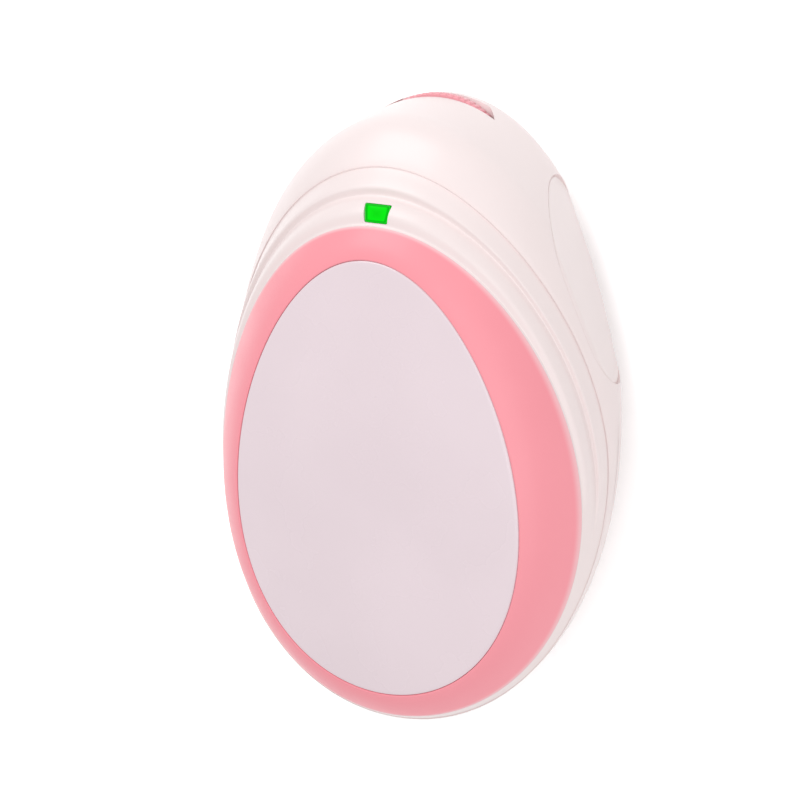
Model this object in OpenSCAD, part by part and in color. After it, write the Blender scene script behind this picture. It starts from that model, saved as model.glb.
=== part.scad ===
// Hand-held fetal heart monitor: an egg-shaped two-part case with a coloured ring round
// a domed front cover, two moulded steps, a thumbwheel in the top edge, finger scoops in
// the sides, a battery door in the back and a round ultrasound probe that it stands on.
//
// Two frames are used. The row frame has the probe's flat face on Z = 0 with its centre
// at the origin, +Y towards the thumbwheel. The face frame lies in the plane of the front
// cover's rim, leaning back by lean; there Z runs out of the cover and depths count down.

/* [Front cover] */
// Width of the egg-shaped front cover
cover_w = 55.8; // [52:0.2:58]
// Height of the front cover
cover_h = 83; // [79:0.5:86]
// How much narrower the cover is at its top than at its bottom
cover_taper = 0.142; // [0.1:0.002:0.16]
// Thickness of the cover at its rim
cover_t = 1.6; // [1.4:0.1:1.8]
// Height of the dome in the middle of the cover
cover_crown = 2.2; // [1:0.1:3]
// Gap all round the cover and between neighbouring case parts
fit_gap = 0.12; // [0.08:0.02:0.2]

/* [Ring] */
// How far the ring reaches past the cover on each side
ring_side = 8; // [7:0.1:8.6]
// How far the ring reaches past the cover at the top and bottom
ring_end = 5.2; // [4.6:0.1:5.6]
// Depth of the ring's outer edge below the cover's rim, at the top and bottom
ring_drop_end = 3; // [2.6:0.1:3.4]
// Depth of the ring's outer edge on the two sides
ring_drop_side = 9.5; // [8.6:0.1:10]
// Thickness of the ring's wall
ring_t = 1.6; // [1.4:0.1:1.8]

/* [Stepped front shell] */
// How far the two steps reach past the ring at the top
step_top = 9.5; // [8.5:0.1:10.5]
// How far they reach past it on the sides
step_side = 2.3; // [2:0.1:2.8]
// How far they reach past it at the bottom
step_bottom = 1.3; // [1.1:0.1:1.6]
// Depth of the seam between the two shells, at the top
seam_drop_end = 8.8; // [8.2:0.1:9.4]
// Depth of that seam on the two sides
seam_drop_side = 17.2; // [16.4:0.1:17.8]
// Height of each step's crest over the slope between ring and seam
step_h = 0.85; // [0.5:0.05:1]

/* [Rear shell] */
// How far the housing rises past the seam at the top
house_top = 7.3; // [6.8:0.1:7.8]
// How far it reaches past the seam on the sides
house_side = 0.6; // [0.4:0.1:0.8]
// Depth of the back at the cover's centre
back_depth = 25; // [24.4:0.1:25.8]
// Lean of the front against the back
lean = 15; // [14.6:0.1:15.4]
// Radius of the back's edge at the thumbwheel end
back_round_top = 9; // [8:0.2:10]
// Radius of the back's edge at the battery end
back_round_low = 4.5; // [4:0.1:5]
// Wall thickness of both shells
wall = 2; // [1.8:0.1:2.2]

/* [Finger scoops] */
// Radius of the gently domed floor of each scoop
scoop_r = 300; // [250:5:400]
// Depth of the scoop below the side wall, at its middle
scoop_bite = 1.8; // [1.4:0.1:2.1]
// Height of the scoop's middle above the cover's centre
scoop_y = 35; // [34:0.5:36]
// Depth of the scoop's middle below the cover's rim
scoop_depth = 25; // [24:0.5:26]

/* [Probe] */
// Diameter of the round probe
probe_d = 34; // [33:0.5:35]
// How far the probe stands out of the back
probe_h = 7; // [6.6:0.1:8]
// Place of the probe's centre above the cover's centre, along the back
probe_up = 10; // [9:0.5:11]
// Thickness of the acoustic window
window_t = 1.8; // [1.4:0.1:2]
// Diameter of the pair of crystals
crystal_d = 22; // [18:0.5:24]
// Thickness of a crystal
crystal_t = 1; // [0.8:0.1:1.2]
// Thickness of the backing behind the crystals
backing_t = 3; // [2:0.1:3.4]

/* [Battery bay] */
// Diameter of an AAA cell
cell_d = 10.5; // [10:0.1:10.6]
// Length of an AAA cell, with its cap
cell_l = 44.5; // [44:0.1:44.6]
// Distance from the probe's centre to the nearer cell's middle
cell_from_probe = 26.7; // [26.4:0.1:27]
// Thickness of the battery door
door_t = 1.6; // [1.4:0.1:1.8]
// Wall thickness of the battery tray
tray_t = 1; // [0.8:0.1:1.1]

/* [Thumbwheel and socket] */
// Diameter of the thumbwheel
wheel_d = 30; // [28:0.5:32]
// Thickness of the thumbwheel
wheel_t = 2.6; // [2:0.1:2.8]
// How far the wheel stands proud of the top edge
wheel_proud = 0.4; // [0.3:0.05:0.8]
// Height of the wheel's middle above the back
wheel_up = 9.9; // [9.6:0.1:10.4]
// Diameter of the wheel's shaft
shaft_d = 3; // [2.6:0.1:3.4]
// Bore of the headphone socket, for a 3.5 mm plug
jack_bore = 3.6; // [3.55:0.01:3.65]
// Length of the socket's bore
jack_l = 12; // [11:0.5:13]

/* [Boards] */
// Thickness of the circuit boards
board_t = 1.6; // [1.2:0.1:1.7]
// Depth of the main board's front face below the cover's rim
board_depth = 10; // [9.8:0.1:10.4]
// Width of the main chip
main_chip_w = 7; // [6:0.5:8]
// Length of the main chip
main_chip_l = 10; // [9:0.5:11]
// Width of the amplifier chip
amp_chip_w = 4; // [3.5:0.5:5]
// Length of the amplifier chip
amp_chip_l = 5; // [4.5:0.5:6]
// Diameter of a capacitor
cap_d = 5; // [4:0.5:5.5]
// Height of a capacitor
cap_h = 5.5; // [4.5:0.5:6]

/* [Hidden] */

around = 60;                       // points round each lofted outline
main_white = "#f6efee";
cover_white = "#e9e0e3";
ring_pink = "#ff9fac";

// ---- outlines: [half width, top, bottom, taper] in the face frame ----
cover_egg = [cover_w / 2, cover_h / 2, -cover_h / 2, cover_taper];
ring_egg = [cover_w / 2 + ring_side, cover_h / 2 + ring_end, -cover_h / 2 - ring_end, 0.75 * cover_taper];
seam_egg = [ring_egg[0] + step_side, ring_egg[1] + step_top, ring_egg[2] - step_bottom, 0.77 * cover_taper];
house_egg = [seam_egg[0] + house_side, seam_egg[1] + house_top, seam_egg[2] - house_side, 0.7 * cover_taper];

function smooth(v) = let (c = min(max(v, 0), 1)) c * c * (3 - 2 * c);
function mix(p, q, f) = p + (q - p) * f;

// A point of an egg at angle t: a circle, stretched, whose width falls towards the top.
function egg(e, t, inset = 0) = [
    (e[0] - inset) * cos(t) * (1 - e[3] * sin(t)),
    (e[1] + e[2]) / 2 + ((e[1] - e[2]) / 2 - inset) * sin(t)];
function egg_points(e, inset = 0, n = around) = [for (i = [0:n - 1]) egg(e, 360 * i / n, inset)];
function egg_angle(e, y) = asin((y - (e[1] + e[2]) / 2) / ((e[1] - e[2]) / 2));

// ---- depths below the cover's rim ----
function ring_depth(t) = mix(ring_drop_end, ring_drop_side, pow(cos(t), 2));
function seam_depth(t) = let (full = mix(seam_drop_end, seam_drop_side, pow(abs(cos(t)), 3)))
    mix(ring_depth(t), full, mix(0.3, 1, smooth((sin(t) + 0.75) / 0.85)));
function back_at(y) = back_depth + y * tan(lean);
function back_round(t) = mix(back_round_low, back_round_top, (1 + sin(t)) / 2);
function step_strength(t) = smooth((sin(t) + 0.3) / 0.35);
function house_gap(t) = norm(egg(house_egg, t) - egg(seam_egg, t));

// ---- the face frame's place in the row frame ----
face_z = probe_h + back_depth * cos(lean);
face_y = -back_depth * sin(lean) - probe_up / cos(lean);
back_z = probe_h;

module on_face() translate([0, face_y, face_z]) rotate([lean, 0, 0]) children();
function face_to_row(p) = [p[0], face_y + p[1] * cos(lean) - p[2] * sin(lean),
    face_z + p[1] * sin(lean) + p[2] * cos(lean)];

// A closed skin over rings of points; each end closes on a point (pole) of its own.
module capped_skin(first_pole, rings, last_pole) {
    n = len(rings[0]);
    m = len(rings);
    points = concat([first_pole], [for (r = rings) each r], [last_pole]);
    polyhedron(points, concat(
        [for (i = [0:n - 1]) [0, 1 + (i + 1) % n, 1 + i]],
        [for (j = [0:m - 2], i = [0:n - 1], h = [0, 1])
            let (a = 1 + j * n + i, b = 1 + j * n + (i + 1) % n)
            h == 0 ? [a, b, b + n] : [a, b + n, a + n]],
        [for (i = [0:n - 1]) [1 + m * n, 1 + (m - 1) * n + i, 1 + (m - 1) * n + (i + 1) % n]]));
}

// A closed skin over rings of points whose last ring joins the first, like a tyre.
module hoop_skin(rings) {
    n = len(rings[0]);
    m = len(rings);
    polyhedron([for (r = rings) each r],
        [for (j = [0:m - 1], i = [0:n - 1], h = [0, 1])
            let (k = (j + 1) % m, a = j * n + i, b = j * n + (i + 1) % n,
                c = k * n + (i + 1) % n, d = k * n + i)
            h == 0 ? [a, b, c] : [a, c, d]]);
}

function angles() = [for (i = [0:around - 1]) 360 * i / around];
function at_depth(p, d) = [p[0], p[1], -d];

// ---- front cover: a domed egg plate ----
module front_cover() color(cover_white) on_face() {
    rim = [for (t = angles()) egg(cover_egg, t, fit_gap)];
    dome = [for (f = [0.3, 0.55, 0.75, 0.9, 0.97, 1])
        [for (p = rim) [f * p[0], f * p[1], cover_crown * (1 - pow(f, 2.4)) - (f == 1 ? 0.3 : 0)]]];
    floor_ring = [for (p = rim) [p[0], p[1], -cover_t]];
    capped_skin([0, 0, cover_crown], concat(dome, [floor_ring]), [0, 0, -cover_t]);
}

// ---- ring: a convex band from the cover's edge down to the steps ----
// Its surface f of the way out, sunk by s of its own thickness along the slope's normal.
function ring_point(t, f, s = 0) = let (
        p = mix(egg(cover_egg, t, s * 0.1), egg(ring_egg, t), f),
        q = mix(egg(cover_egg, t), egg(ring_egg, t, s * ring_t * 0.62), f),
        d = ring_depth(t) * (0.35 * f + 0.65 * f * f))
    at_depth(mix(p, q, f), d + s * ring_t * 0.85);

module ring_bezel() color(ring_pink) on_face() {
    outer = [for (f = [0, 0.2, 0.4, 0.6, 0.8, 0.95, 1])
        [for (t = angles()) ring_point(t, f, f == 1 ? 0.25 : 0)]];
    inner = [for (f = [1, 0.7, 0.35, 0]) [for (t = angles()) ring_point(t, f, 1)]];
    hoop_skin(concat(outer, inner));
}

// ---- front shell: a tray under cover and ring, then the two steps out to the seam ----
step_profile = [[0.12, 0.3], [0.3, 0.95], [0.37, 1], [0.43, 0.5], [0.5, -0.3], [0.57, -0.2],
    [0.68, 0.85], [0.76, 1], [0.82, 0.45], [0.9, -0.35], [1, 0]];

// The steps' surface at angle t: f of the way from ring to seam, h step heights off the slope.
function step_point(t, f, h) = let (
        a = egg(ring_egg, t, -fit_gap), b = egg(seam_egg, t),
        run = norm(b - a), fall = seam_depth(t) - ring_depth(t), slope = norm([run, fall]),
        lift = h * step_h * step_strength(t),
        p = mix(a, b, f) + (b - a) / run * lift * fall / slope)
    at_depth(p, mix(ring_depth(t), seam_depth(t), f) - lift * run / slope);

tray_depth = cover_t + fit_gap;
module front_shell() color(main_white) on_face() difference() {
    union() {
        floor_edge = [for (t = angles()) at_depth(egg(cover_egg, t, 0.3), tray_depth)];
        seat = [for (f = [0.3, 0.65, 1]) [for (t = angles()) ring_point(t, f, 1.08)]];
        lip = [[for (t = angles()) at_depth(egg(ring_egg, t, -fit_gap), ring_depth(t) + 0.2)]];
        steps = [for (s = step_profile) [for (t = angles()) step_point(t, s[0], s[1])]];
        rim = [[for (t = angles()) at_depth(egg(seam_egg, t, wall), seam_depth(t))]];
        inside = [for (f = [0.9, 0.5, 0.1]) [for (t = angles()) ring_point(t, f, 2.3)]];
        capped_skin([0, 0, -tray_depth], concat([floor_edge], seat, lip, steps, rim, inside),
            [0, 0, -tray_depth - 1.2]);
        for (s = screw_places)
            translate([s[0], s[1], -board_depth])
                cylinder(r = post_r, h = board_depth - tray_depth - 0.6, $fn = 32);
    }
    for (s = screw_places)
        translate([s[0], s[1], -board_depth - 1]) cylinder(r = screw_r, h = pilot_l + 1, $fn = 32);
    at_light() translate([0, 0, -7]) linear_extrude(10) offset(delta = fit_gap) window_shape();
}

// ---- light window: a trapezoid of clear plastic in the first step ----
lamp_y = ring_egg[1] + 2.3;        // the window's middle, above the cover's centre
lamp_h = 3.2;
lamp_tilt = 21;
lamp_front = ring_drop_end + 1.0;
light_t = 2.4;

module at_light() translate([0, lamp_y, -lamp_front]) rotate([-lamp_tilt, 0, 0]) children();
module window_shape() polygon([[-2.1, -lamp_h / 2], [2.1, -lamp_h / 2], [2.5, lamp_h / 2], [-2.5, lamp_h / 2]]);

module light_window() color("#12e82a") on_face() at_light()
    translate([0, 0, -light_t]) linear_extrude(light_t) window_shape();

// ---- rear shell ----
shoulder = [[0.45, 0.26], [0.82, 0.58], [0.95, 0.78], [1, 1.1]];   // [way out, depth] in house gaps
round_steps = [18, 36, 54, 72, 90];

function shoulder_point(t, s, inset = 0) = at_depth(
    mix(egg(seam_egg, t, inset), egg(house_egg, t, inset), s[0]),
    seam_depth(t) + fit_gap + s[1] * house_gap(t) + 0.3 * s[0] + 0.5 * inset);
function wall_point(t, f, inset = 0) = let (
        p = egg(house_egg, t, inset),
        top = seam_depth(t) + fit_gap + 1.1 * house_gap(t) + 0.3 + 0.5 * inset,
        low = back_at(p[1]) - back_round(t))
    at_depth(p, mix(top, low, f));
function edge_point(t, a, inset = 0) = let (
        r = back_round(t) - inset,
        p = egg(house_egg, t, inset + r * (1 - cos(a))))
    at_depth(p, back_at(p[1]) - inset - r + r * sin(a));

function house_rings(inset = 0) = concat(
    [for (s = shoulder) [for (t = angles()) shoulder_point(t, s, inset)]],
    [for (f = [0.5, 1]) [for (t = angles()) wall_point(t, f, inset)]],
    [for (a = round_steps) [for (t = angles()) edge_point(t, a, inset)]]);
function seam_ring(inset) = [for (t = angles()) at_depth(egg(seam_egg, t, inset), seam_depth(t) + fit_gap)];
function reversed(list) = [for (i = [len(list) - 1:-1:0]) list[i]];

// The housing as a bowl, open towards the front, and as a filled block.
module house_bowl() capped_skin([0, 0, wall - back_at(0)],
    concat(reversed(house_rings(wall)), [seam_ring(wall)], [seam_ring(0)], house_rings(0)),
    [0, 0, -back_at(0)]);
module house_block(inset = 0) capped_skin([0, 0, -seam_drop_end],
    concat([seam_ring(inset)], house_rings(inset)), [0, 0, inset - back_at(0)]);

// Two great balls trim the side walls to a gently domed floor with a crisp edge.
scoop_turn = 21.7;
scoop_dip = 8.7;
scoop_out = [cos(scoop_turn) * cos(scoop_dip), sin(scoop_turn) * cos(scoop_dip), -sin(scoop_dip)];
scoop_wall = at_depth([egg(house_egg, egg_angle(house_egg, scoop_y))[0], scoop_y], scoop_depth);
module scoop_ball(side, sunk = 0) mirror([side, 0, 0])
    translate(scoop_wall - scoop_out * (scoop_r + scoop_bite)) sphere(scoop_r - sunk, $fn = 180);

// Four screws clamp the shells and the main board: [x, y] in the face frame.
screw_places = [[-16, 28], [16, 28], [-22.5, -1], [22.5, -1]];
screw_r = 1.1;
screw_head_r = 2.1;
post_r = 3;
pilot_l = 5;
boss_top = board_depth + board_t;
head_seat = boss_top + 2.4;
well_r = screw_head_r + 0.4;

// The door's panel of the back with a tongue on each side, and the deck round the tray's mouth.
door_top_y = -cell_from_probe + cell_d / 2 + 1.2;
deck_z = back_z + door_t + 0.2;
deck_t = 1.4;
deck_top_y = door_top_y + 0.6;
door_half = 27;
tongue_w = 1.1;
tongue_t = 0.7;
tongue_l = 17;
module door_panel(gap) translate([0, 0, back_z - 5]) linear_extrude(door_t + gap + 5)
    hull() {
        for (side = [-1, 1]) translate([side * (door_half - 2), door_top_y - 2]) circle(2 + gap, $fn = 32);
        translate([-door_half - gap, door_top_y - 70]) square([2 * (door_half + gap), 1]);
    }
module door_tongues(gap) translate([-door_half - tongue_w - gap, door_top_y - 3 - tongue_l - gap,
    back_z + door_t - tongue_t - gap])
    cube([2 * (door_half + tongue_w + gap), tongue_l + 2 * gap, tongue_t + 2 * gap]);

control_z = back_z + wheel_up + wheel_t / 2 + 4;
wheel_z = back_z + wheel_up - wheel_t / 2;
wheel_top = face_to_row([0, house_egg[1], -(face_z + house_egg[1] * sin(lean) - back_z - wheel_up) / cos(lean)]);
wheel_y = wheel_top[1] + wheel_proud - wheel_d / 2;
slot_gap = 0.8;                    // between the wheel's rim and the end of its slot
control_half = house_egg[0] / 2;
control_y = wheel_top[1] - 0.89 * wheel_d;
control_posts = [[-control_half, control_y], [control_half, control_y]];

module rear_shell() color(main_white) difference() {
    union() {
        on_face() intersection() {
            house_bowl();
            scoop_ball(0);
            scoop_ball(1);
        }
        for (side = [0, 1]) on_face() difference() {
            intersection() {
                house_block(0.3);
                scoop_ball(side);
            }
            scoop_ball(side, wall);
        }
        intersection() {
            on_face() house_block(0.5);
            translate([-60, deck_top_y - 90, deck_z]) cube([120, 90, deck_t]);
        }
        on_face() intersection() {
            house_block(0.5);
            for (s = screw_places) hull() {
                translate([s[0], s[1], -boss_top - 0.1]) cylinder(r = post_r, h = 0.1, $fn = 32);
                translate([s[0], s[1], -60]) cylinder(r = post_r + 0.7, h = 0.1, $fn = 32);
            }
        }
        for (p = control_posts) hull() {
            translate([p[0], p[1], back_z + 1]) cylinder(r = 3.2, h = 0.5, $fn = 32);
            translate([p[0], p[1], control_z - 0.1]) cylinder(r = 2.2, h = 0.1, $fn = 32);
        }
        translate([0, 0, back_z + 0.5]) cylinder(r = probe_d / 2 + 2.6, h = wall - 0.5, $fn = 72);
    }
    door_panel(fit_gap);
    door_tongues(fit_gap);
    translate([0, -fit_gap - tongue_l, 0]) door_tongues(fit_gap);
    bay_mouth();
    for (s = screw_places) on_face() {
        translate([s[0], s[1], -head_seat - 40]) cylinder(r = well_r, h = 40, $fn = 32);
        translate([s[0], s[1], -head_seat - 1]) cylinder(r = screw_r + 0.25, h = 10, $fn = 32);
    }
    translate([0, 0, back_z - 1]) cylinder(r = probe_d / 2 + fit_gap, h = wall + 2, $fn = 96);
    translate([0, wheel_y, wheel_z - 0.4]) cylinder(r = wheel_d / 2 + slot_gap, h = wheel_t + 0.8, $fn = 120);
    jack_hole();
}

module bay_mouth() hull() for (x = [-1, 1], y = [far_cell_y - bay_r + 1.5, near_cell_y + bay_r - 1.5])
    translate([x * (bay_half - 1.5), y, back_z]) cylinder(r = 1.5, h = 6, $fn = 24);

// ---- battery door: the slab of the housing that slides off, with grip ridges ----
ridges = 6;
module battery_door() color(main_white) difference() {
    union() {
        intersection() {
            on_face() house_block();
            door_panel(0);
        }
        door_tongues(0);
    }
    for (i = [0:ridges - 1]) hull() for (side = [-1, 1])
        translate([side * (9 - 0.6 * i), door_top_y - 6 - 2.4 * i, back_z - 0.35]) sphere(0.8, $fn = 16);
}

// ---- probe ----
rim_r = probe_d / 2;
window_r = rim_r - 1.9;
shield_r = window_r - 0.5;
stack_z = window_t + 0.5;

module probe_housing() color("#f3eeee") rotate_extrude($fn = 96) polygon(concat(
    [[window_r + fit_gap, window_t], [window_r + fit_gap, 0.35]],
    [for (a = [-90:15:0]) [rim_r - 1.2 + 1.2 * cos(a), 1.55 + 1.2 * sin(a)]],
    [[rim_r, back_z + wall], [rim_r + 2.2, back_z + wall], [rim_r + 2.2, back_z + wall + 1.3],
    [rim_r - 1.7, back_z + wall + 1.3], [rim_r - 1.7, window_t + 0.6], [window_r - 0.8, window_t + 0.6],
    [window_r - 0.8, window_t]]));

module probe_window() color("#d9dde2") cylinder(r = window_r, h = window_t, $fn = 96);

module half_crystal() translate([0, 0, stack_z]) intersection() {
    cylinder(r = crystal_d / 2, h = crystal_t, $fn = 72);
    translate([0.8, -crystal_d / 2, 0]) cube([crystal_d, crystal_d, crystal_t]);
}
module transmit_crystal() color("#cdb98a") half_crystal();
module receive_crystal() color("#cdb98a") mirror([1, 0, 0]) half_crystal();
module probe_backing() color("#3b3f45") translate([0, 0, stack_z + crystal_t])
    cylinder(r = crystal_d / 2 + 1, h = backing_t, $fn = 72);
module probe_shield() color("#c9a24a") translate([0, 0, stack_z + crystal_t + backing_t]) rotate_extrude($fn = 96)
    polygon([[3, 0], [shield_r - 0.5, 0], [shield_r - 0.5, -1.2 * backing_t], [shield_r, -1.2 * backing_t],
        [shield_r, 0.5], [3, 0.5]]);

// ---- main board, in the face frame, with its parts ----
board_egg = [29, 52, -44, 0.75 * cover_taper];
board_low = -5.5;
module main_board() color("#1f6b3a") on_face() translate([0, 0, -board_depth - board_t])
    linear_extrude(board_t) difference() {
        intersection() {
            polygon(egg_points(board_egg));
            translate([-40, board_low]) square([80, 80]);
        }
        for (s = screw_places) translate([s[0], s[1]]) circle(screw_r + 0.3, $fn = 32);
    }

lamp_r = 1.5;
lamp_top = board_depth - 2.4;      // depth of the lamp's dome, right behind the window
module signal_lamp() color("#7dff8a") on_face() translate([0, lamp_y, -board_depth])
    rotate_extrude($fn = 48) polygon(concat([[0, 0], [lamp_r + 0.3, 0], [lamp_r + 0.3, 0.8], [lamp_r, 0.8]],
        [for (a = [0:15:75]) [lamp_r * cos(a), board_depth - lamp_top - lamp_r + lamp_r * sin(a)]],
        [[0, board_depth - lamp_top]]));

pin_pitch = 1.27;
cap_y = 0.229 * cover_h;
module chip(w, l, h, pins) {
    translate([-w / 2, -l / 2, 0.3]) cube([w, l, h]);
    for (s = [-1, 1], i = [0:pins - 1])
        translate([s * (w / 2 + 0.35) - 0.45, (i - (pins - 1) / 2) * pin_pitch - 0.2, 0]) cube([0.9, 0.4, 0.6]);
}
module behind_board(x, y) on_face() translate([x, y, -board_depth - board_t]) rotate([180, 0, 0]) children();
module main_chip() color("#23262a") behind_board(0, 0.434 * cover_h)
    chip(main_chip_w, main_chip_l, 1.6, floor((main_chip_l - 1) / pin_pitch));
module amplifier_chip() color("#23262a") behind_board(-9, cap_y)
    chip(amp_chip_w, amp_chip_l, 1.5, floor((amp_chip_l + 0.2) / pin_pitch));
module capacitors() color("#3a4a6b") for (x = [6, 8 + cap_d])
    behind_board(x, cap_y) cylinder(r = cap_d / 2, h = cap_h, $fn = 48);

// ---- control board in the row frame: volume control, wheel and socket ----
module control_board() color("#1f6b3a") translate([0, 0, control_z]) linear_extrude(board_t)
    difference() {
        hull() for (x = [-1, 1], p = [[control_half, control_y - 1], [0.3 * wheel_d, control_y + 0.5 * wheel_d]])
            translate([x * p[0], p[1]]) circle(3.5, $fn = 32);
        for (p = control_posts) translate(p) circle(0.9, $fn = 32);
        translate([jack_tip[0], jack_tip[1]]) rotate(jack_turn)
            translate([-jack_l - 1.5, -jack_size / 2 - 0.2]) square([jack_l + 10, jack_size + 0.4]);
    }
module volume_control() color("#4a4d52") translate([0, wheel_y, 0]) difference() {
    translate([0, 0, wheel_z + wheel_t + 0.6]) cylinder(r = 6, h = control_z - wheel_z - wheel_t - 0.6, $fn = 64);
    translate([0, 0, wheel_z]) cylinder(r = shaft_d / 2 + 0.05, h = control_z - wheel_z - 0.6, $fn = 64);
}
module wheel_shaft() color("#b9bcc0") translate([0, wheel_y, wheel_z - 1])
    cylinder(r = shaft_d / 2, h = control_z - wheel_z - 0.2, $fn = 64);

knurls = 72;
module volume_wheel() color("#f0a0ac") translate([0, wheel_y, wheel_z]) difference() {
    union() {
        cylinder(r = wheel_d / 2, h = wheel_t, $fn = 180);
        translate([0, 0, -0.6]) cylinder(r = shaft_d / 2 + 2, h = wheel_t + 0.8, $fn = 64);
    }
    translate([0, 0, -1]) cylinder(r = shaft_d / 2, h = wheel_t + 2, $fn = 64);
    for (i = [0:knurls - 1]) rotate(i * 360 / knurls) translate([wheel_d / 2 + 0.25, 0, -1])
        rotate(45) translate([-0.3, -0.3, 0]) cube([0.6, 0.6, wheel_t + 2]);
    translate([0, 0, 0.8]) rotate_extrude($fn = 96)
        translate([shaft_d / 2 + 3.5, 0]) square([wheel_d / 2 - shaft_d / 2 - 5.5, wheel_t]);
}

// The socket looks out of the left shoulder, square to the wall there.
jack_angle = 125;
jack_size = 6;
jack_nose_r = 2.8;
jack_mouth = -0.3;
jack_z = control_z + board_t / 2;   // the socket sits in a cutout of the board
jack_wall = egg(house_egg, jack_angle);
jack_depth = (face_z + jack_wall[1] * sin(lean) - jack_z) / cos(lean);
jack_tip = face_to_row(at_depth(jack_wall, jack_depth));
jack_along = egg(house_egg, jack_angle + 1) - egg(house_egg, jack_angle - 1);
jack_turn = atan2(-jack_along[0] * cos(lean), jack_along[1]);
module at_jack() translate([jack_tip[0], jack_tip[1], jack_z]) rotate(jack_turn) rotate([0, 90, 0]) children();
module phone_jack() color("#2b2d31") at_jack() difference() {
    union() {
        translate([0, 0, -wall - 2]) cylinder(r = jack_nose_r, h = wall + 2 + jack_mouth, $fn = 64);
        translate([-jack_size / 2, -jack_size / 2, jack_mouth - jack_l - 1]) cube([jack_size, jack_size, jack_l - wall - 1.6 + jack_mouth]);
    }
    translate([0, 0, jack_mouth - jack_l]) cylinder(r = jack_bore / 2, h = jack_l + 1, $fn = 64);
}
module jack_hole() at_jack() translate([0, 0, -8]) cylinder(r = jack_nose_r + fit_gap, h = 16, $fn = 48);

// ---- battery bay, in the row frame ----
bay_r = cell_d / 2 + 0.35;
near_cell_y = -cell_from_probe;
far_cell_y = near_cell_y - cell_d - 1.1;
cell_z = back_z + door_t + 0.4 + cell_d / 2;
spring_l = 5.1;
plate_t = 0.4;
bay_half = (cell_l + spring_l + 2 * plate_t) / 2;
tray_z = deck_z + deck_t;

module bay_outline(r, low_z) for (y = [near_cell_y, far_cell_y]) translate([y, 0]) {
    translate([0, cell_z]) circle(r, $fn = 64);
    translate([-r, low_z]) square([2 * r, cell_z - low_z]);
}
module along_x(length) translate([-length / 2, 0, 0]) rotate([90, 0, 90]) linear_extrude(length) children();

module battery_tray() color("#e9e4e3") difference() {
    along_x(2 * bay_half + 2 * tray_t) intersection() {
        bay_outline(bay_r + tray_t, tray_z);
        translate([far_cell_y - 20, tray_z]) square([60, 20]);
    }
    along_x(2 * bay_half) bay_outline(bay_r, tray_z - 2);
    translate([bay_half - 0.6, far_cell_y, cell_z - 1.6]) cube([0.6, near_cell_y - far_cell_y, 3.2]);
    for (side = [-1, 1]) {
        translate([side * (bay_half + 8.6) - 10, far_cell_y - 20, cell_z + 4]) cube([20, 50, 10]);
        translate([side * (bay_half + tray_t), far_cell_y - bay_r - tray_t, cell_z]) rotate(45) cube([5, 5, 50], center = true);
    }
}

// An AAA cell along X, its cap towards +X.
module cell() rotate([0, 90, 0]) rotate_extrude($fn = 64) polygon([[0, -cell_l / 2], [4.2, -cell_l / 2],
    [4.2, -cell_l / 2 + 0.2], [cell_d / 2 - 0.4, -cell_l / 2 + 0.2], [cell_d / 2, -cell_l / 2 + 0.6],
    [cell_d / 2, cell_l / 2 - 1.4], [cell_d / 2 - 0.4, cell_l / 2 - 1], [1.9, cell_l / 2 - 1],
    [1.9, cell_l / 2], [0, cell_l / 2]]);
cell_shift = bay_half - plate_t - cell_l / 2;
module battery_1() color("#5b6673") translate([cell_shift, near_cell_y, cell_z]) cell();
module battery_2() color("#5b6673") translate([-cell_shift, far_cell_y, cell_z]) rotate(180) cell();

// A contact plate on the tray's end wall at +X, and the coned spring on it.
contact_h = 0.6 * cell_d;
module contact_plate(y) translate([bay_half - plate_t, y - contact_h / 2, cell_z - contact_h / 2])
    cube([plate_t, contact_h, contact_h]);
spring_turns = 4;
spring_wire = 0.5;
spring_steps = 8 * spring_turns;
spring_base_r = contact_h / 2 - 0.35;
spring_tip_r = 0.2 * cell_d;
function spring_ring(i) = let (
        a = 360 * i / 8, f = i / spring_steps, r = mix(spring_base_r, spring_tip_r, f),
        x = mix(spring_wire / 2 - 0.1, spring_l - spring_wire / 2 - 0.05, f), out = [0, cos(a), sin(a)])
    [for (k = [0:5]) [-x, 0, 0] + out * (r + spring_wire / 2 * cos(60 * k)) + [spring_wire / 2 * sin(60 * k), 0, 0]];
module contact_spring(y) translate([bay_half - plate_t, y, cell_z])
    capped_skin([0.1 - spring_wire / 2, spring_base_r, -0.05],
        [for (i = [0:spring_steps]) spring_ring(i)], [spring_wire / 2 + 0.05 - spring_l, spring_tip_r, 0.05]);

module bridge_contact() color("#c8ccd0") {
    contact_plate(near_cell_y);
    contact_plate(far_cell_y);
    translate([bay_half - plate_t, far_cell_y, cell_z - 1.5]) cube([plate_t, near_cell_y - far_cell_y, 3]);
    contact_spring(far_cell_y);
}
module negative_contact() color("#c8ccd0") mirror([1, 0, 0]) {
    contact_plate(near_cell_y);
    contact_spring(near_cell_y);
}
module positive_contact() color("#c8ccd0") mirror([1, 0, 0]) contact_plate(far_cell_y);

// ---- screws, up their wells from the back ----
module case_screws() color("#aeb2b6") on_face() for (s = screw_places) translate([s[0], s[1], -head_seat])
    difference() {
        union() {
            cylinder(r = screw_r, h = head_seat - board_depth + pilot_l - 0.6, $fn = 32);
            translate([0, 0, -1.6]) cylinder(r = screw_head_r, h = 1.6, $fn = 48);
        }
        for (a = [0, 90]) rotate(a) translate([-1.2, -0.3, -2.6]) cube([2.4, 0.6, 1.8]);
    }

front_cover();
ring_bezel();
front_shell();
light_window();
rear_shell();
battery_door();
probe_housing();
probe_window();
transmit_crystal();
receive_crystal();
probe_backing();
probe_shield();
main_board();
signal_lamp();
main_chip();
amplifier_chip();
capacitors();
control_board();
volume_control();
volume_wheel();
wheel_shaft();
phone_jack();
battery_tray();
battery_1();
battery_2();
bridge_contact();
positive_contact();
negative_contact();
case_screws();
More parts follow.
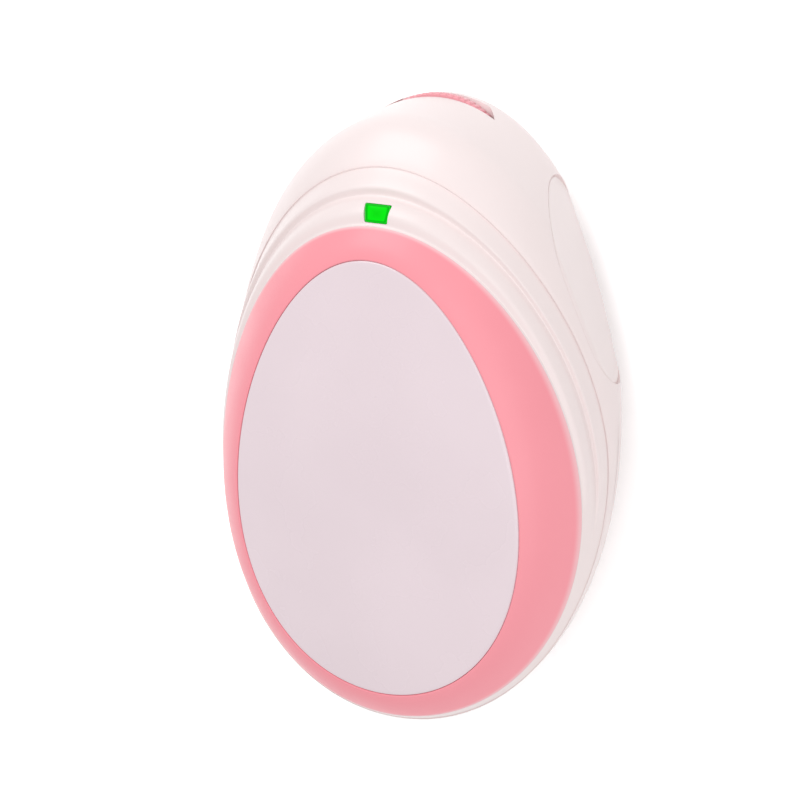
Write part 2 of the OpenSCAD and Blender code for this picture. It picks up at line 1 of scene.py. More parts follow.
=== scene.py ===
# %% [markdown]
# # A hand-held fetal heart monitor
# The case is egg-shaped: a pale cover sits in a pink ring, the ring sits in a white front
# shell with two moulded steps, and a deeper rear shell carries a thumbwheel, a finger scoop
# on each side, a battery door and the round ultrasound probe. The solids come from the packed
# part. This script gives the visible skins their true smooth curves and every piece its finish.

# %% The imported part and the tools
import math

import bpy
import numpy as np
from mathutils import Matrix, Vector
from mathutils.bvhtree import BVHTree


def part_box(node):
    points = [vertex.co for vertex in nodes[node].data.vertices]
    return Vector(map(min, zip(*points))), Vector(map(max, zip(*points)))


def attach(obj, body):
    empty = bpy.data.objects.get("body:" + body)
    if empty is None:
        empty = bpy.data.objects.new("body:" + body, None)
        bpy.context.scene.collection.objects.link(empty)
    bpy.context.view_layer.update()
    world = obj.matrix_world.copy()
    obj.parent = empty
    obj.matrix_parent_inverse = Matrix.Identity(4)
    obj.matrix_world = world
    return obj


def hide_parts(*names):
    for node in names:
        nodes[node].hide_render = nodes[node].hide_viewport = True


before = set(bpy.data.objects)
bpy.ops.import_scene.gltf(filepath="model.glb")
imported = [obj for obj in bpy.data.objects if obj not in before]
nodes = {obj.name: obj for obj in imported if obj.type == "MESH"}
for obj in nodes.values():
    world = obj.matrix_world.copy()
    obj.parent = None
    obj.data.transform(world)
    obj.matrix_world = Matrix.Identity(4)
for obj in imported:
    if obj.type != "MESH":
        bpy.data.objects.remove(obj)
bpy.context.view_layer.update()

# %% [markdown]
# ## The two frames
# The row frame has the probe's flat face at height 0. The face of the monitor leans back by
# 15 degrees against it, so every egg outline is drawn flat in a face frame, with depths
# counted down from the cover's rim, and then turned and lifted into place. Lengths are in
# millimetres until a mesh is written.

# %% From the face to the row frame
LEAN = math.radians(15)
BACK_DEPTH = 25.0
PROBE_H = 7.0
PROBE_UP = 10.0
FACE_Z = PROBE_H + BACK_DEPTH * math.cos(LEAN)
FACE_Y = -BACK_DEPTH * math.sin(LEAN) - PROBE_UP / math.cos(LEAN)


def xyz(p):
    """x, y and z of any array of points."""
    return np.moveaxis(np.asarray(p, float), -1, 0)


def face_to_row(p):
    """Turns face-frame points about X by the lean, then lifts them to the face's place."""
    x, y, z = xyz(p)
    return np.stack([x, FACE_Y + y * math.cos(LEAN) - z * math.sin(LEAN),
                     FACE_Z + y * math.sin(LEAN) + z * math.cos(LEAN)], -1)


def turn_to_row(v):
    """The lean's turn alone, for directions."""
    return face_to_row(v) - face_to_row(np.zeros(3))


print("the face's own zero lies at y", round(FACE_Y, 2), "and z", round(FACE_Z, 2), "mm")

# %% Eggs
TAPER = 0.142
COVER = (27.9, 41.5, -41.5, TAPER)
RING = (35.9, 46.7, -46.7, 0.75 * TAPER)
SEAM = (38.2, 56.2, -48.0, 0.77 * TAPER)
HOUSE = (38.8, 63.5, -48.6, 0.7 * TAPER)


def egg(e, t, inset=0.0):
    """x = a cos t (1 - k sin t), y = middle + half sin t: an ellipse that narrows upwards."""
    a, top, low, k = e
    return np.stack([(a - inset) * np.cos(t) * (1 - k * np.sin(t)),
                     (top + low) / 2 + ((top - low) / 2 - inset) * np.sin(t)], -1)


def around(n):
    """The angles of n equal steps once round."""
    return np.linspace(0, 2 * math.pi, n, endpoint=False)


def mix(p, q, f):
    """p at f = 0, q at f = 1."""
    return p + (q - p) * f


print("widths of cover, ring, seam and housing:",
      [float(np.ptp(egg(e, around(360))[:, 0]).round(1)) for e in (COVER, RING, SEAM, HOUSE)])

# %% Depths
WALL = 2.0
GAP = 0.12
RING_DROP_END, RING_DROP_MORE = 3.0, 6.5
SEAM_DROP_END, SEAM_DROP_MORE = 8.8, 8.4


def smooth(v):
    """3v^2 - 2v^3 between 0 and 1: a soft switch."""
    v = np.clip(v, 0, 1)
    return v * v * (3 - 2 * v)


def ring_depth(t):
    """3 at the ends, 9.5 at the sides: 3 + 6.5 cos^2 t."""
    return RING_DROP_END + RING_DROP_MORE * np.cos(t) ** 2


def seam_depth(t):
    """8.8 at the top, 17 at the sides, and close under the ring at the low end."""
    full = SEAM_DROP_END + SEAM_DROP_MORE * np.abs(np.cos(t)) ** 3
    return mix(ring_depth(t), full, mix(0.3, 1.0, smooth((np.sin(t) + 0.75) / 0.85)))


def back_at(y):
    """The back is a plane: 25 + y tan 15 degrees below the cover's rim."""
    return BACK_DEPTH + y * math.tan(LEAN)


def at_depth(p, d):
    """A flat point p, sunk d below the cover's rim."""
    return np.concatenate([p, -np.broadcast_to(np.asarray(d)[..., None], p[..., :1].shape)], -1)


print("seam's depth at the top and at a side:", seam_depth(np.array([math.pi / 2, 0])).round(1))

# %% [markdown]
# ## From arrays to meshes
# Modifiers could shape each part, but a formula holds a true curve and a known wall. So a case
# part here is a stack of closed loops, joined by quads. A stack closes on a point at each end,
# like a bowl, or on its own first loop, like a tyre. Corner cutting rounds a drawn section:
# each pass replaces a corner by two points, a quarter of the way in from each side.

# %% Mesh helpers
def signed_volume(verts, faces):
    """A sixth of the sum of a . (b x c) over all triangles: below 0 if faces look inwards."""
    total = 0.0
    for corners in (3, 4):
        group = np.array([f for f in faces if len(f) == corners])
        for k in range(1, corners - 1):
            if len(group):
                a, b, c = (verts[group[:, i]] for i in (0, k, k + 1))
                total += np.einsum("ij,ij->", a, np.cross(b, c)) / 6
    return total


def into_scene(name, data):
    """A new object for this data, linked into the scene."""
    obj = bpy.data.objects.new(name, data)
    bpy.context.scene.collection.objects.link(obj)
    return obj


def write_mesh(name, verts, faces):
    """Puts millimetre points and faces into a smooth mesh in metres."""
    verts = np.asarray(verts, float)
    if signed_volume(verts, faces) < 0:
        faces = [f[::-1] for f in faces]
    mesh = bpy.data.meshes.new(name)
    mesh.from_pydata((verts * 0.001).tolist(), [], [tuple(int(i) for i in f) for f in faces])
    mesh.shade_smooth()
    return into_scene(name, mesh)


def mark(obj, name, values):
    """Stores one number for each loop of a stack as a point attribute (0 at the poles)."""
    n = len(obj.data.vertices) // len(values)
    numbers = np.zeros(len(obj.data.vertices), np.float32)
    numbers[:n * len(values)] = np.repeat(np.asarray(values, np.float32), n)
    obj.data.attributes.new(name, "FLOAT", "POINT").data.foreach_set("value", numbers)


sides = [(0, 2, 1), (0, 1, 3), (0, 3, 2), (1, 2, 3)]
print("a cube's cut-off corner holds", round(signed_volume(np.eye(4)[:, 1:], sides), 4), "of it")

# %% Stacks of loops
def stack_faces(rows, n, tyre):
    """Quads between loop j and loop j + 1, all as one index array."""
    j, i = np.meshgrid(np.arange(rows if tyre else rows - 1), np.arange(n), indexing="ij")
    k, m = (j + 1) % rows, (i + 1) % n
    return np.stack([j * n + i, j * n + m, k * n + m, k * n + i], -1).reshape(-1, 4)


def stack(name, loops, poles=None):
    """A closed skin over loops (rows, n, 3); poles are the two end points of a bowl."""
    loops = np.asarray(loops)
    rows, n = loops.shape[:2]
    quads = stack_faces(rows, n, poles is None).tolist()
    verts = loops.reshape(-1, 3)
    if poles is not None:
        i = np.arange(n)
        m = (i + 1) % n
        first, last = len(verts), len(verts) + 1
        verts = np.concatenate([verts, np.asarray(poles, float)])
        quads += np.stack([np.full(n, first), m, i], -1).tolist()
        quads += np.stack([np.full(n, last), (rows - 1) * n + i, (rows - 1) * n + m], -1).tolist()
    return write_mesh(name, verts, quads)


def cut_corners(points, passes=3):
    """Each pass: every inner corner p becomes p + (before - p)/4 and p + (after - p)/4."""
    p = np.asarray(points, float)
    for _ in range(passes):
        q = np.stack([mix(p[:-1], p[1:], 0.25), mix(p[:-1], p[1:], 0.75)], 1)
        p = np.concatenate([p[:1], q.reshape(-1, p.shape[1])[1:-1], p[-1:]])
    return p


print("a corner cut three times has", len(cut_corners([(0, 0), (1, 0), (1, 1)])), "points")

# %% Prisms, circles and turned parts
def prism(name, outline, low, high, place=lambda p: p):
    """A flat outline (n, 2) drawn out from low to high, then placed."""
    outline = np.asarray(outline, float)
    loops = [np.column_stack([outline, np.full(len(outline), z)]) for z in (high, low)]
    middle = outline.mean(0)
    poles = [[*middle, high], [*middle, low]]
    return stack(name, [place(l) for l in loops], place(np.array(poles)))


def circle(r, n=96, x=0.0, y=0.0):
    """x + r cos a, y + r sin a."""
    a = around(n)
    return np.column_stack([x + r * np.cos(a), y + r * np.sin(a)])


def turned(name, profile, n=128, place=lambda p: p):
    """A closed (radius, height) profile swept round Z: (r cos a, r sin a, z)."""
    profile = np.asarray(profile, float)
    a = around(n)
    loops = np.stack([profile[:, :1] * np.cos(a), profile[:, :1] * np.sin(a),
                      np.repeat(profile[:, 1:], n, 1)], -1)
    return stack(name, place(loops))


print("a circle in four steps:", circle(1, 4).round(3).tolist())

# %% Sharp edges, Booleans and finishing
def sharpen(obj, degrees):
    """Keeps edges that bend more than this crisp, and shades all the rest smooth."""
    obj.data.shade_smooth()
    obj.data.set_sharp_from_angle(angle=math.radians(degrees))


def combine(obj, others, how):
    """Adds or cuts solids with Boolean modifiers, applies them and removes the tools."""
    for other in others:
        step = obj.modifiers.new(how, "BOOLEAN")
        step.operation, step.object, step.solver = how, other, "MANIFOLD"
    deps = bpy.context.evaluated_depsgraph_get()
    mesh = bpy.data.meshes.new_from_object(obj.evaluated_get(deps), depsgraph=deps)
    obj.modifiers.clear()
    obj.data = mesh
    for other in others:
        bpy.data.objects.remove(other)


def finish_piece(obj, body, slot, material, *replaced):
    """Gives a piece its finish and its body, and hides the solids it stands for. The slot is not
    used.
    """
    obj.data.materials.clear()
    obj.data.materials.append(material)
    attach(obj, body)
    if replaced:
        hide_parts(*replaced)
    low = np.array([v.co for v in obj.data.vertices]).min(0) * 1000
    print(f"{obj.name}: {len(obj.data.polygons)} faces, lowest corner {low.round(1)} mm")


# %% [markdown]
# ## Finishes
# All the case parts are injection-moulded plastic. The cover and ring are glossy, the shells
# a little softer. On a real moulding the gloss wanders slightly with the mould's polish, and a
# fine orange-peel ripple breaks the reflections. An image could carry both, but noise on
# Object coordinates needs no unwrapping and stays sharp from near by.

# %% Colours and nodes
def linear(rgb):
    """A colour as it is seen (0 to 255) turned into the light values a shader works with."""
    c = np.array(rgb) / 255
    return (*np.where(c <= 0.04045, c / 12.92, ((c + 0.055) / 1.055) ** 2.4), 1.0)


print("half grey, 128 of 255, works as", round(float(linear((128, 128, 128))[0]), 3))


class Nodes:
    """A short way to add nodes to a new material, or to the owner given, and to join them."""

    def __init__(self, name, owner=None):
        self.material = owner or bpy.data.materials.new(name)
        self.material.use_nodes = True
        self.tree = self.material.node_tree
        self.shader = self.tree.nodes.get("Principled BSDF")
        self.place = None

    def add(self, kind, **settings):
        node = self.tree.nodes.new(kind)
        for key, value in settings.items():
            if key in node.inputs:
                node.inputs[key].default_value = value
            else:
                setattr(node, key, value)
        return node

    def give(self, name, value):
        self.shader.inputs[name].default_value = value

    def join(self, a, out, b, into):
        self.tree.links.new(a.outputs[out], b.inputs[into])

    def on_object(self, node):
        """Joins the piece's own coordinates to a node, so that its pattern stays on the piece."""
        self.place = self.place or self.add("ShaderNodeTexCoord")
        self.join(self.place, "Object", node, "Vector")
        return node

    def noise(self, scale, detail=3.0):
        return self.on_object(self.add("ShaderNodeTexNoise", Scale=scale, Detail=detail))

    def remap(self, source, out, old, new, **settings):
        """Maps the range old onto the range new."""
        node = self.add("ShaderNodeMapRange", **settings)
        for key, value in zip(("From Min", "From Max", "To Min", "To Max"), (*old, *new)):
            node.inputs[key].default_value = value
        self.join(source, out, node, "Value")
        return node

    def gloss(self, source, low, high):
        """Lets the roughness wander from low to high as a noise goes from 0.3 to 0.7."""
        wander = self.remap(source, "Fac", (0.3, 0.7), (low, high))
        self.join(wander, "Result", self.shader, "Roughness")

    def bands(self, source, out, stops):
        """A colour ramp through (place, colour) stops."""
        ramp = self.add("ShaderNodeValToRGB")
        for place, _ in stops[2:]:
            ramp.color_ramp.elements.new(place)
        for element, (place, colour) in zip(ramp.color_ramp.elements, stops):
            element.position, element.color = place, linear(colour)
        self.join(source, out, ramp, "Fac")
        return ramp

    def tint(self, source, one, other, out="Fac", low=0.35, high=0.65):
        """The base colour goes from one to the other as a value goes from low to high."""
        ramp = self.bands(source, out, [(low, one), (high, other)])
        ramp.color_ramp.interpolation = "EASE"
        self.join(ramp, "Color", self.shader, "Base Color")
        return ramp

    def bump(self, source, depth, strength=1.0, out="Fac", under=None):
        node = self.add("ShaderNodeBump", Strength=strength, Distance=depth)
        self.join(source, out, node, "Height")
        if under:
            self.join(under, "Normal", node, "Normal")
        self.join(node, "Normal", self.shader, "Normal")
        return node


# %% Plastic and metal
def moulded(name, rgb, rough=0.3, coat=0.0, ripple=0.00002, grain=0.0, shade=5):
    """Moulded plastic: wandering gloss, a faint orange-peel ripple and, if asked, a fine grain."""
    m = Nodes(name)
    darker, lighter = [max(c - shade, 0) for c in rgb], [min(c + 1, 255) for c in rgb]
    m.tint(m.noise(28.0), darker, lighter)
    m.gloss(m.noise(90.0), rough - 0.04, rough + 0.05)
    peel = m.bump(m.noise(420.0, 1.0), ripple, 0.35)
    if grain:
        m.bump(m.noise(3800.0, 2.0), grain, 0.5, under=peel)
    m.give("Coat Weight", coat)
    m.give("Coat Roughness", 0.12)
    m.give("IOR", 1.5)
    return m.material


def metal(name, rgb, rough=0.3, stretch=(1, 1, 1)):
    """Drawn or plated metal: streaks along one way in its gloss and a light scatter of tone."""
    m = Nodes(name)
    m.give("Metallic", 1.0)
    streaks = m.noise(600.0, 4.0)
    lay = m.add("ShaderNodeMapping")
    lay.inputs["Scale"].default_value = stretch
    m.join(m.place, "Object", lay, "Vector")
    m.join(lay, "Vector", streaks, "Vector")
    m.gloss(streaks, rough - 0.08, rough + 0.1)
    m.tint(m.noise(200.0), [c * 0.9 for c in rgb], rgb)
    m.bump(streaks, 0.000006, 0.4)
    return m.material


# %% A colour that fades along a stored number
# The Mix node has a set of sockets for each kind of value; these three are for colours.
MIX_ONE, MIX_OTHER, MIX_RESULT = 6, 7, 2


def fade_outwards(material, attribute, start, end, rgb):
    """Mixes the base colour towards rgb as a stored number goes from start to end."""
    m = Nodes(material.name, material)
    base = m.shader.inputs["Base Color"]
    stored = m.add("ShaderNodeAttribute", attribute_name=attribute)
    along = m.remap(stored, "Fac", (start, end), (0.0, 1.0), interpolation_type="SMOOTHSTEP")
    both = m.add("ShaderNodeMix", data_type="RGBA")
    m.join(along, "Result", both, "Factor")
    m.tree.links.new(base.links[0].from_socket, both.inputs[MIX_ONE])
    both.inputs[MIX_OTHER].default_value = linear(rgb)
    m.tree.links.new(both.outputs[MIX_RESULT], base)


# %% The finishes
cover_white = moulded("cover_white_gloss", (237, 220, 226), 0.26, 0.35, 0.000003, shade=3)
case_white = moulded("case_white_satin", (247, 233, 232), 0.36, 0.1, 0.00002, 0.0000025, shade=2)
probe_white = moulded("probe_white", (240, 232, 231), 0.3, 0.2, 0.00002, shade=4)
tray_white = moulded("tray_white", (231, 226, 225), 0.45, 0.0, 0.00002, 0.000004)
wheel_pink = moulded("wheel_pink", (244, 161, 171), 0.38, 0.1, 0.00002, 0.000003)
chip_black = moulded("chip_black", (35, 38, 42), 0.5, 0.0, 0.00001, 0.000006)
socket_black = moulded("socket_black", (38, 40, 44), 0.4, 0.1)
pot_grey = moulded("pot_grey", (74, 78, 84), 0.5)
resin_grey = moulded("backing_resin", (58, 62, 68), 0.55, 0.0, 0.00004, 0.00001, shade=12)
sleeve_blue = moulded("capacitor_sleeve", (52, 70, 108), 0.35, 0.3)
ceramic = moulded("crystal_ceramic", (205, 188, 142), 0.42, 0.0, 0.00001, 0.000006, shade=10)
ring_pink = moulded("ring_pink_gloss", (255, 157, 168), 0.44, 0.08, 0.000004, shade=3)
plated = metal("plated_steel", (206, 209, 212), 0.28)
brass = metal("shield_brass", (214, 178, 96), 0.32)
print("finishes:", len(bpy.data.materials))

# %% [markdown]
# ## The front cover
# A glossy egg plate, very slightly domed, dropped into the ring. A squashed sphere cut by an
# egg could do, but in a stack of loops dome, rim and wall each have their own size. The dome
# falls with a power of the way out: nearly flat in the middle, quicker at the rim. The last
# half millimetre turns down in a small radius, which draws the fine line round the cover.

# %% Front cover
FULL = around(540)
COVER_T, COVER_CROWN = 1.6, 2.2
RIM_AT = 0.985
RIM_ROUND = 0.4
RIM_GAP = 0.05
RIM_LOW = 1.3


def cover_loops():
    """Loops at f of the way out, at height 2.2 (1 - f^2.4), then a radius of 0.4 and the wall."""
    rim = egg(COVER, FULL, RIM_GAP)
    size = np.linalg.norm(rim, axis=1)[:, None]

    def level(points, depth):
        return at_depth(points, np.full(len(FULL), depth))

    loops = []
    for f in np.concatenate([np.linspace(0.04, 0.9, 30), np.linspace(0.915, RIM_AT, 6)]):
        loops.append(level(rim * f, -COVER_CROWN * (1 - f ** 2.4)))
    edge_up = COVER_CROWN * (1 - RIM_AT ** 2.4)
    for a in np.linspace(0, math.pi / 2, 7)[1:]:
        inward = RIM_ROUND * (1 - np.sin(a)) / size
        depth = -edge_up + 0.05 + RIM_ROUND * (1 - np.cos(a))
        loops.append(level(rim * (1 - inward), depth))
    loops += [level(rim, RIM_LOW), level(rim * 0.995, COVER_T), level(rim * 0.5, COVER_T)]
    return face_to_row(np.array(loops))


cover = stack("cover_plate", cover_loops(),
              face_to_row(np.array([[0, 0, COVER_CROWN], [0, 0, -COVER_T]])))
sharpen(cover, 50)
finish_piece(cover, "case", "cover_white", cover_white, "front_cover")

# %% [markdown]
# ## The ring
# The pink band is a convex strip between two eggs, wide at the sides and narrow at the ends.
# A section swept along a curve would stay the same all round, so each loop is instead mixed
# from the two eggs. Its depth is 0.35 f + 0.65 f^2 of its drop: it leaves the cover almost
# level and rolls down ever more steeply, like a pillow. Each loop stores how far out it lies,
# and the finish turns from pink to a pale pink over the last tenth, out to the outer edge.

# %% Ring
RING_T = 1.6
ACROSS, DOWN = 0.62, 0.85
REACH = 0.115
EDGE_PALE = (253, 196, 202)


def ring_point(t, f, s=0.0):
    """f of the way out, sunk by s thicknesses along the slope's normal."""
    p = mix(egg(COVER, t, s * 0.1), egg(RING, t, -REACH), f)
    q = mix(egg(COVER, t), egg(RING, t, s * RING_T * ACROSS - REACH), f)
    return at_depth(mix(p, q, f), ring_depth(t) * (0.35 * f + 0.65 * f * f) + s * RING_T * DOWN)


ring_section = [(0.0, 0.9), (0.0, 0.25), (0.008, 0.06), (0.03, 0.0)]
ring_section += [(f, 0.0) for f in np.linspace(0.06, 0.95, 30)]
ring_section += [(0.975, 0.0), (0.99, 0.0), (1.0, 0.01), (1.0, 0.9), (0.97, 1.0)]
ring_section += [(f, 1.0) for f in (0.75, 0.5, 0.25, 0.02)]
ring = stack("ring_band", face_to_row(np.array([ring_point(FULL, f, s) for f, s in ring_section])))
sharpen(ring, 50)
mark(ring, "way_out", [f for f, s in ring_section])
fade_outwards(ring_pink, "way_out", 0.9, 1.0, EDGE_PALE)
finish_piece(ring, "case", "ring_pink", ring_pink, "ring_bezel")

# %% [markdown]
# ## The stepped front shell
# Between ring and seam the shell makes two steps: each rises steeply on the ring's side, has
# a rounded crest and falls gently outwards, and both fade away towards the low end. The
# section is drawn once as (way out, height) stations, its corners are cut round, and the same
# section is laid at every angle along the slope's own normal, scaled by a soft switch. Cutting
# the steps with a tool could not fade them out so softly.

# %% Front shell
STEP_H = 1.15
first_step = [(0.004, 0.0), (0.03, -0.12), (0.055, -0.1), (0.12, 0.32), (0.18, 0.62),
              (0.25, 0.7), (0.35, 0.48), (0.44, 0.12), (0.495, -0.24), (0.53, -0.32)]
second_step = [(0.555, -0.14), (0.59, 0.3), (0.615, 0.6), (0.66, 0.68), (0.77, 0.42),
               (0.89, 0.08), (0.985, -0.13)]
step_section = cut_corners(first_step + second_step)


def step_point(t, f, h):
    """On the straight line from ring to seam, f of the way out, h step heights off it."""
    a, b = egg(RING, t, -GAP), egg(SEAM, t)
    run = np.linalg.norm(b - a, axis=-1)
    fall = seam_depth(t) - ring_depth(t)
    slope = np.hypot(run, fall)
    lift = h * STEP_H * smooth((np.sin(t) + 0.3) / 0.35)
    p = mix(a, b, f) + (b - a) / run[:, None] * (lift * fall / slope)[:, None]
    return at_depth(p, mix(ring_depth(t), seam_depth(t), f) - lift * run / slope)


TRAY = COVER_T + GAP
SEAT, INSIDE = 1.08, 2.3


def front_loops():
    """Tray floor, seat under the ring, lip, the steps, a small radius at the seam, the inside."""
    t = FULL
    loops = [at_depth(egg(COVER, t, 0.3), np.full(len(t), TRAY))]
    loops += [ring_point(t, f, SEAT) for f in (0.3, 0.65, 0.99)]
    loops += [at_depth(egg(RING, t, -GAP), ring_depth(t) + 0.01)]
    loops += [step_point(t, f, h) for f, h in step_section]
    edge = egg(SEAM, t)
    inward = egg(SEAM, t, 1.0) - edge
    loops += [at_depth(edge + inward * way_in, seam_depth(t) - above)
              for way_in, above in ((0.0, 0.2), (0.03, 0.08), (0.12, 0.0), (WALL, 0.0))]
    loops += [ring_point(t, f, INSIDE) for f in (0.9, 0.5, 0.1)]
    return face_to_row(np.array(loops))


front = stack("front_case", front_loops(),
              face_to_row(np.array([[0, 0, -TRAY], [0, 0, -TRAY - 1.2]])))


# %% Screw posts under the front shell
def on_face(x, y):
    """Placing rule: local points stand at (x, y) of the face, heights out of it."""
    return lambda p: face_to_row(np.asarray(p) + np.array([x, y, 0.0]))


SCREWS = [(-16, 28), (16, 28), (-22.5, -1), (22.5, -1)]
POST_R, PILOT_R, PILOT_DEEP = 3.0, 1.1, 5
BOARD_DEPTH = 10.0
posts = [prism(f"post_{i}", circle(POST_R, 64), -BOARD_DEPTH, -TRAY - 0.6, on_face(x, y))
         for i, (x, y) in enumerate(SCREWS)]
combine(front, posts, "UNION")
pilots = [prism(f"pilot_{i}", circle(PILOT_R, 48), -BOARD_DEPTH - 1, -BOARD_DEPTH + PILOT_DEEP,
                on_face(x, y)) for i, (x, y) in enumerate(SCREWS)]
print("front shell with its posts:", len(front.data.polygons), "faces")

# %% [markdown]
# ## The light window
# A clear green trapezoid, wider at its top edge, is pressed into the first step. A bevelled
# box could do, but one drawn outline serves twice: as it is for the lens, and grown a little
# for the hole. A lamp sits right behind the lens, so the green comes mostly as a glow, and a
# ramp on the stored way out gives it a darker band inside a bright rim.

# %% Window hole
LIGHT_Y = RING[1] + 2.3
LIGHT_TILT = math.radians(21)
LIGHT_FRONT = 4.0


def at_light(p):
    """Tips local points by 21 degrees about X and sets them into the first step."""
    x, y, z = xyz(p)
    c, s = math.cos(LIGHT_TILT), math.sin(LIGHT_TILT)
    return face_to_row(np.stack([x, LIGHT_Y + y * c + z * s, -LIGHT_FRONT - y * s + z * c], -1))


def window_outline(grow=0.0, corner=0.35):
    """Four corners, grown outwards, each then rounded by a quadratic Bezier curve."""
    corners = np.array([(-2.1, -1.6), (2.1, -1.6), (2.5, 1.6), (-2.5, 1.6)], float)
    corners += np.sign(corners) * grow
    points = []
    for i in range(4):
        before, here, after = corners[i - 1], corners[i], corners[(i + 1) % 4]
        one = here + (before - here) / np.linalg.norm(before - here) * corner
        two = here + (after - here) / np.linalg.norm(after - here) * corner
        s = np.linspace(0, 1, 6)[:, None]
        points.append((1 - s) ** 2 * one + 2 * s * (1 - s) * here + s ** 2 * two)
        next_one = after + (here - after) / np.linalg.norm(here - after) * corner
        points.append(mix(two, next_one, np.linspace(0, 1, 12)[1:-1, None]))
    return np.concatenate(points)


hole = prism("window_hole", window_outline(GAP), -7, 3, at_light)
combine(front, pilots + [hole], "DIFFERENCE")
sharpen(front, 32)
finish_piece(front, "case", "case_white", case_white, "front_shell")

# %% Lens
LENS_CROWN, LENS_T = 0.12, 2.4
outline = window_outline()
lens_section = [(f, LENS_CROWN * (1 - f * f)) for f in np.linspace(0.1, 0.86, 20)]
lens_section += [(0.9, 0.01), (0.94, 0.0), (0.975, -0.04), (1.0, -0.14), (1.0, -LENS_T / 2),
                 (1.0, -LENS_T)]
lens_loops = [np.column_stack([outline * f, np.full(len(outline), z)]) for f, z in lens_section]
lens = stack("window_lens", at_light(np.array(lens_loops)),
             at_light(np.array([[0, 0, LENS_CROWN], [0, 0, -LENS_T]])))
sharpen(lens, 40)
mark(lens, "way_out", [f for f, z in lens_section])

# %% The glow of the lens
m = Nodes("window_green")
way = m.add("ShaderNodeAttribute", attribute_name="way_out")
glow = m.bands(way, "Fac", [(0.0, (0, 222, 8)), (0.72, (0, 240, 12)), (0.84, (0, 176, 14)),
                            (0.9, (0, 176, 14)), (0.95, (20, 235, 40)), (1.0, (0, 150, 20))])
m.join(glow, "Color", m.shader, "Emission Color")
m.tint(m.noise(260.0), (0, 70, 4), (0, 84, 6))
m.gloss(m.noise(500.0), 0.16, 0.26)
m.give("Specular IOR Level", 0.06)
m.give("Emission Strength", 0.92)
finish_piece(lens, "case", "light_green", m.material, "light_window")

# %% [markdown]
# ## The rear shell
# The deep half is a bowl. It could be pulled out of a cube with subdivision, but formulas keep
# it exactly on the seam and give both faces of the wall. From the seam its shoulder swells out
# along a Bezier curve, the side wall runs straight back, and a radius that grows from 4.5 mm
# at the battery end to 9 mm at the wheel end turns it into the flat back. The floors of the
# shallow finger scoops are part of a ball of 300 mm radius, and the inner wall follows them:
# a point outside the ball, made smaller by the wall, is pulled back onto it.

# %% Rear shell skin
BACK_ROUND_LOW, BACK_ROUND_TOP = 4.5, 9.0
SHOULDER = ((0, 0), (0.55, 0.25), (1, 0.62), (1, 1.1))
SHOULDER_SINK = 0.3
SCOOP_R = 300.0
SCOOP_BITE = 1.8
SCOOP_Y, SCOOP_DEPTH = 35, 25.0
SCOOP_TURN, SCOOP_DIP = math.radians(21.7), math.radians(8.7)


def back_round(t):
    """Radius of the back's edge: 4.5 at the low end, 9 at the top."""
    return mix(BACK_ROUND_LOW, BACK_ROUND_TOP, (1 + np.sin(t)) / 2)


def house_gap(t):
    """How far the housing's outline stands off the seam."""
    return np.linalg.norm(egg(HOUSE, t) - egg(SEAM, t), axis=-1)


def scoop_axes(side):
    """The way out of the scoop, the way up it and the way across, for the side 1 or -1."""
    ct, st, cd, sd = (math.cos(SCOOP_TURN), math.sin(SCOOP_TURN),
                      math.cos(SCOOP_DIP), math.sin(SCOOP_DIP))
    out = np.array([side * ct * cd, st * cd, -sd])
    up = np.array([-side * st, ct, 0.0])
    return out, up, np.cross(out, up)


def scoop_centre(side):
    """The ball's centre: from the wall at the scoop's middle inwards by radius and bite."""
    t = math.asin((SCOOP_Y - (HOUSE[1] + HOUSE[2]) / 2) / ((HOUSE[1] - HOUSE[2]) / 2))
    wall = np.array([*egg(HOUSE, np.array(t)), -SCOOP_DEPTH])
    return (wall - scoop_axes(1)[0] * (SCOOP_R + SCOOP_BITE)) * np.array([side, 1, 1])


def scooped(p, sunk):
    """Pulls points outside either ball back onto it: c + (p - c) R / |p - c|."""
    r = SCOOP_R - sunk
    for side in (1, -1):
        c = scoop_centre(side)
        away = np.linalg.norm(p - c, axis=-1, keepdims=True)
        p = np.where(away > r, c + (p - c) * r / away, p)
    return p


def bezier(a, b, c, d, s):
    """The cubic Bezier curve with those four control points."""
    s = np.asarray(s)[:, None]
    a, b, c, d = (np.array(v, float) for v in (a, b, c, d))
    return (1 - s) ** 3 * a + 3 * s * (1 - s) ** 2 * b + 3 * s * s * (1 - s) * c + s ** 3 * d


def house_loops(t, inset=0.0):
    """Shoulder, wall and rounded edge of the housing, each sunk by inset."""
    loops = []
    top = seam_depth(t) + GAP + 0.5 * inset
    for g, q in bezier(*SHOULDER, np.linspace(0, 1, 18)[1:]):
        p = mix(egg(SEAM, t, inset), egg(HOUSE, t, inset), g)
        loops.append(at_depth(p, top + q * house_gap(t) + SHOULDER_SINK * g))
    p = egg(HOUSE, t, inset)
    low = back_at(p[:, 1]) - back_round(t)
    for f in np.linspace(0, 1, 24)[1:]:
        loops.append(at_depth(p, mix(top + SHOULDER[-1][1] * house_gap(t) + SHOULDER_SINK, low, f)))
    r = back_round(t) - inset
    for a in np.linspace(0, math.pi / 2, 16)[1:]:
        p = egg(HOUSE, t, inset)
        inner = egg(HOUSE, t, inset + 1.0)
        p = p + (inner - p) * (r * (1 - math.cos(a)))[:, None]
        loops.append(at_depth(p, back_at(p[:, 1]) - inset - r + r * math.sin(a)))
    return loops


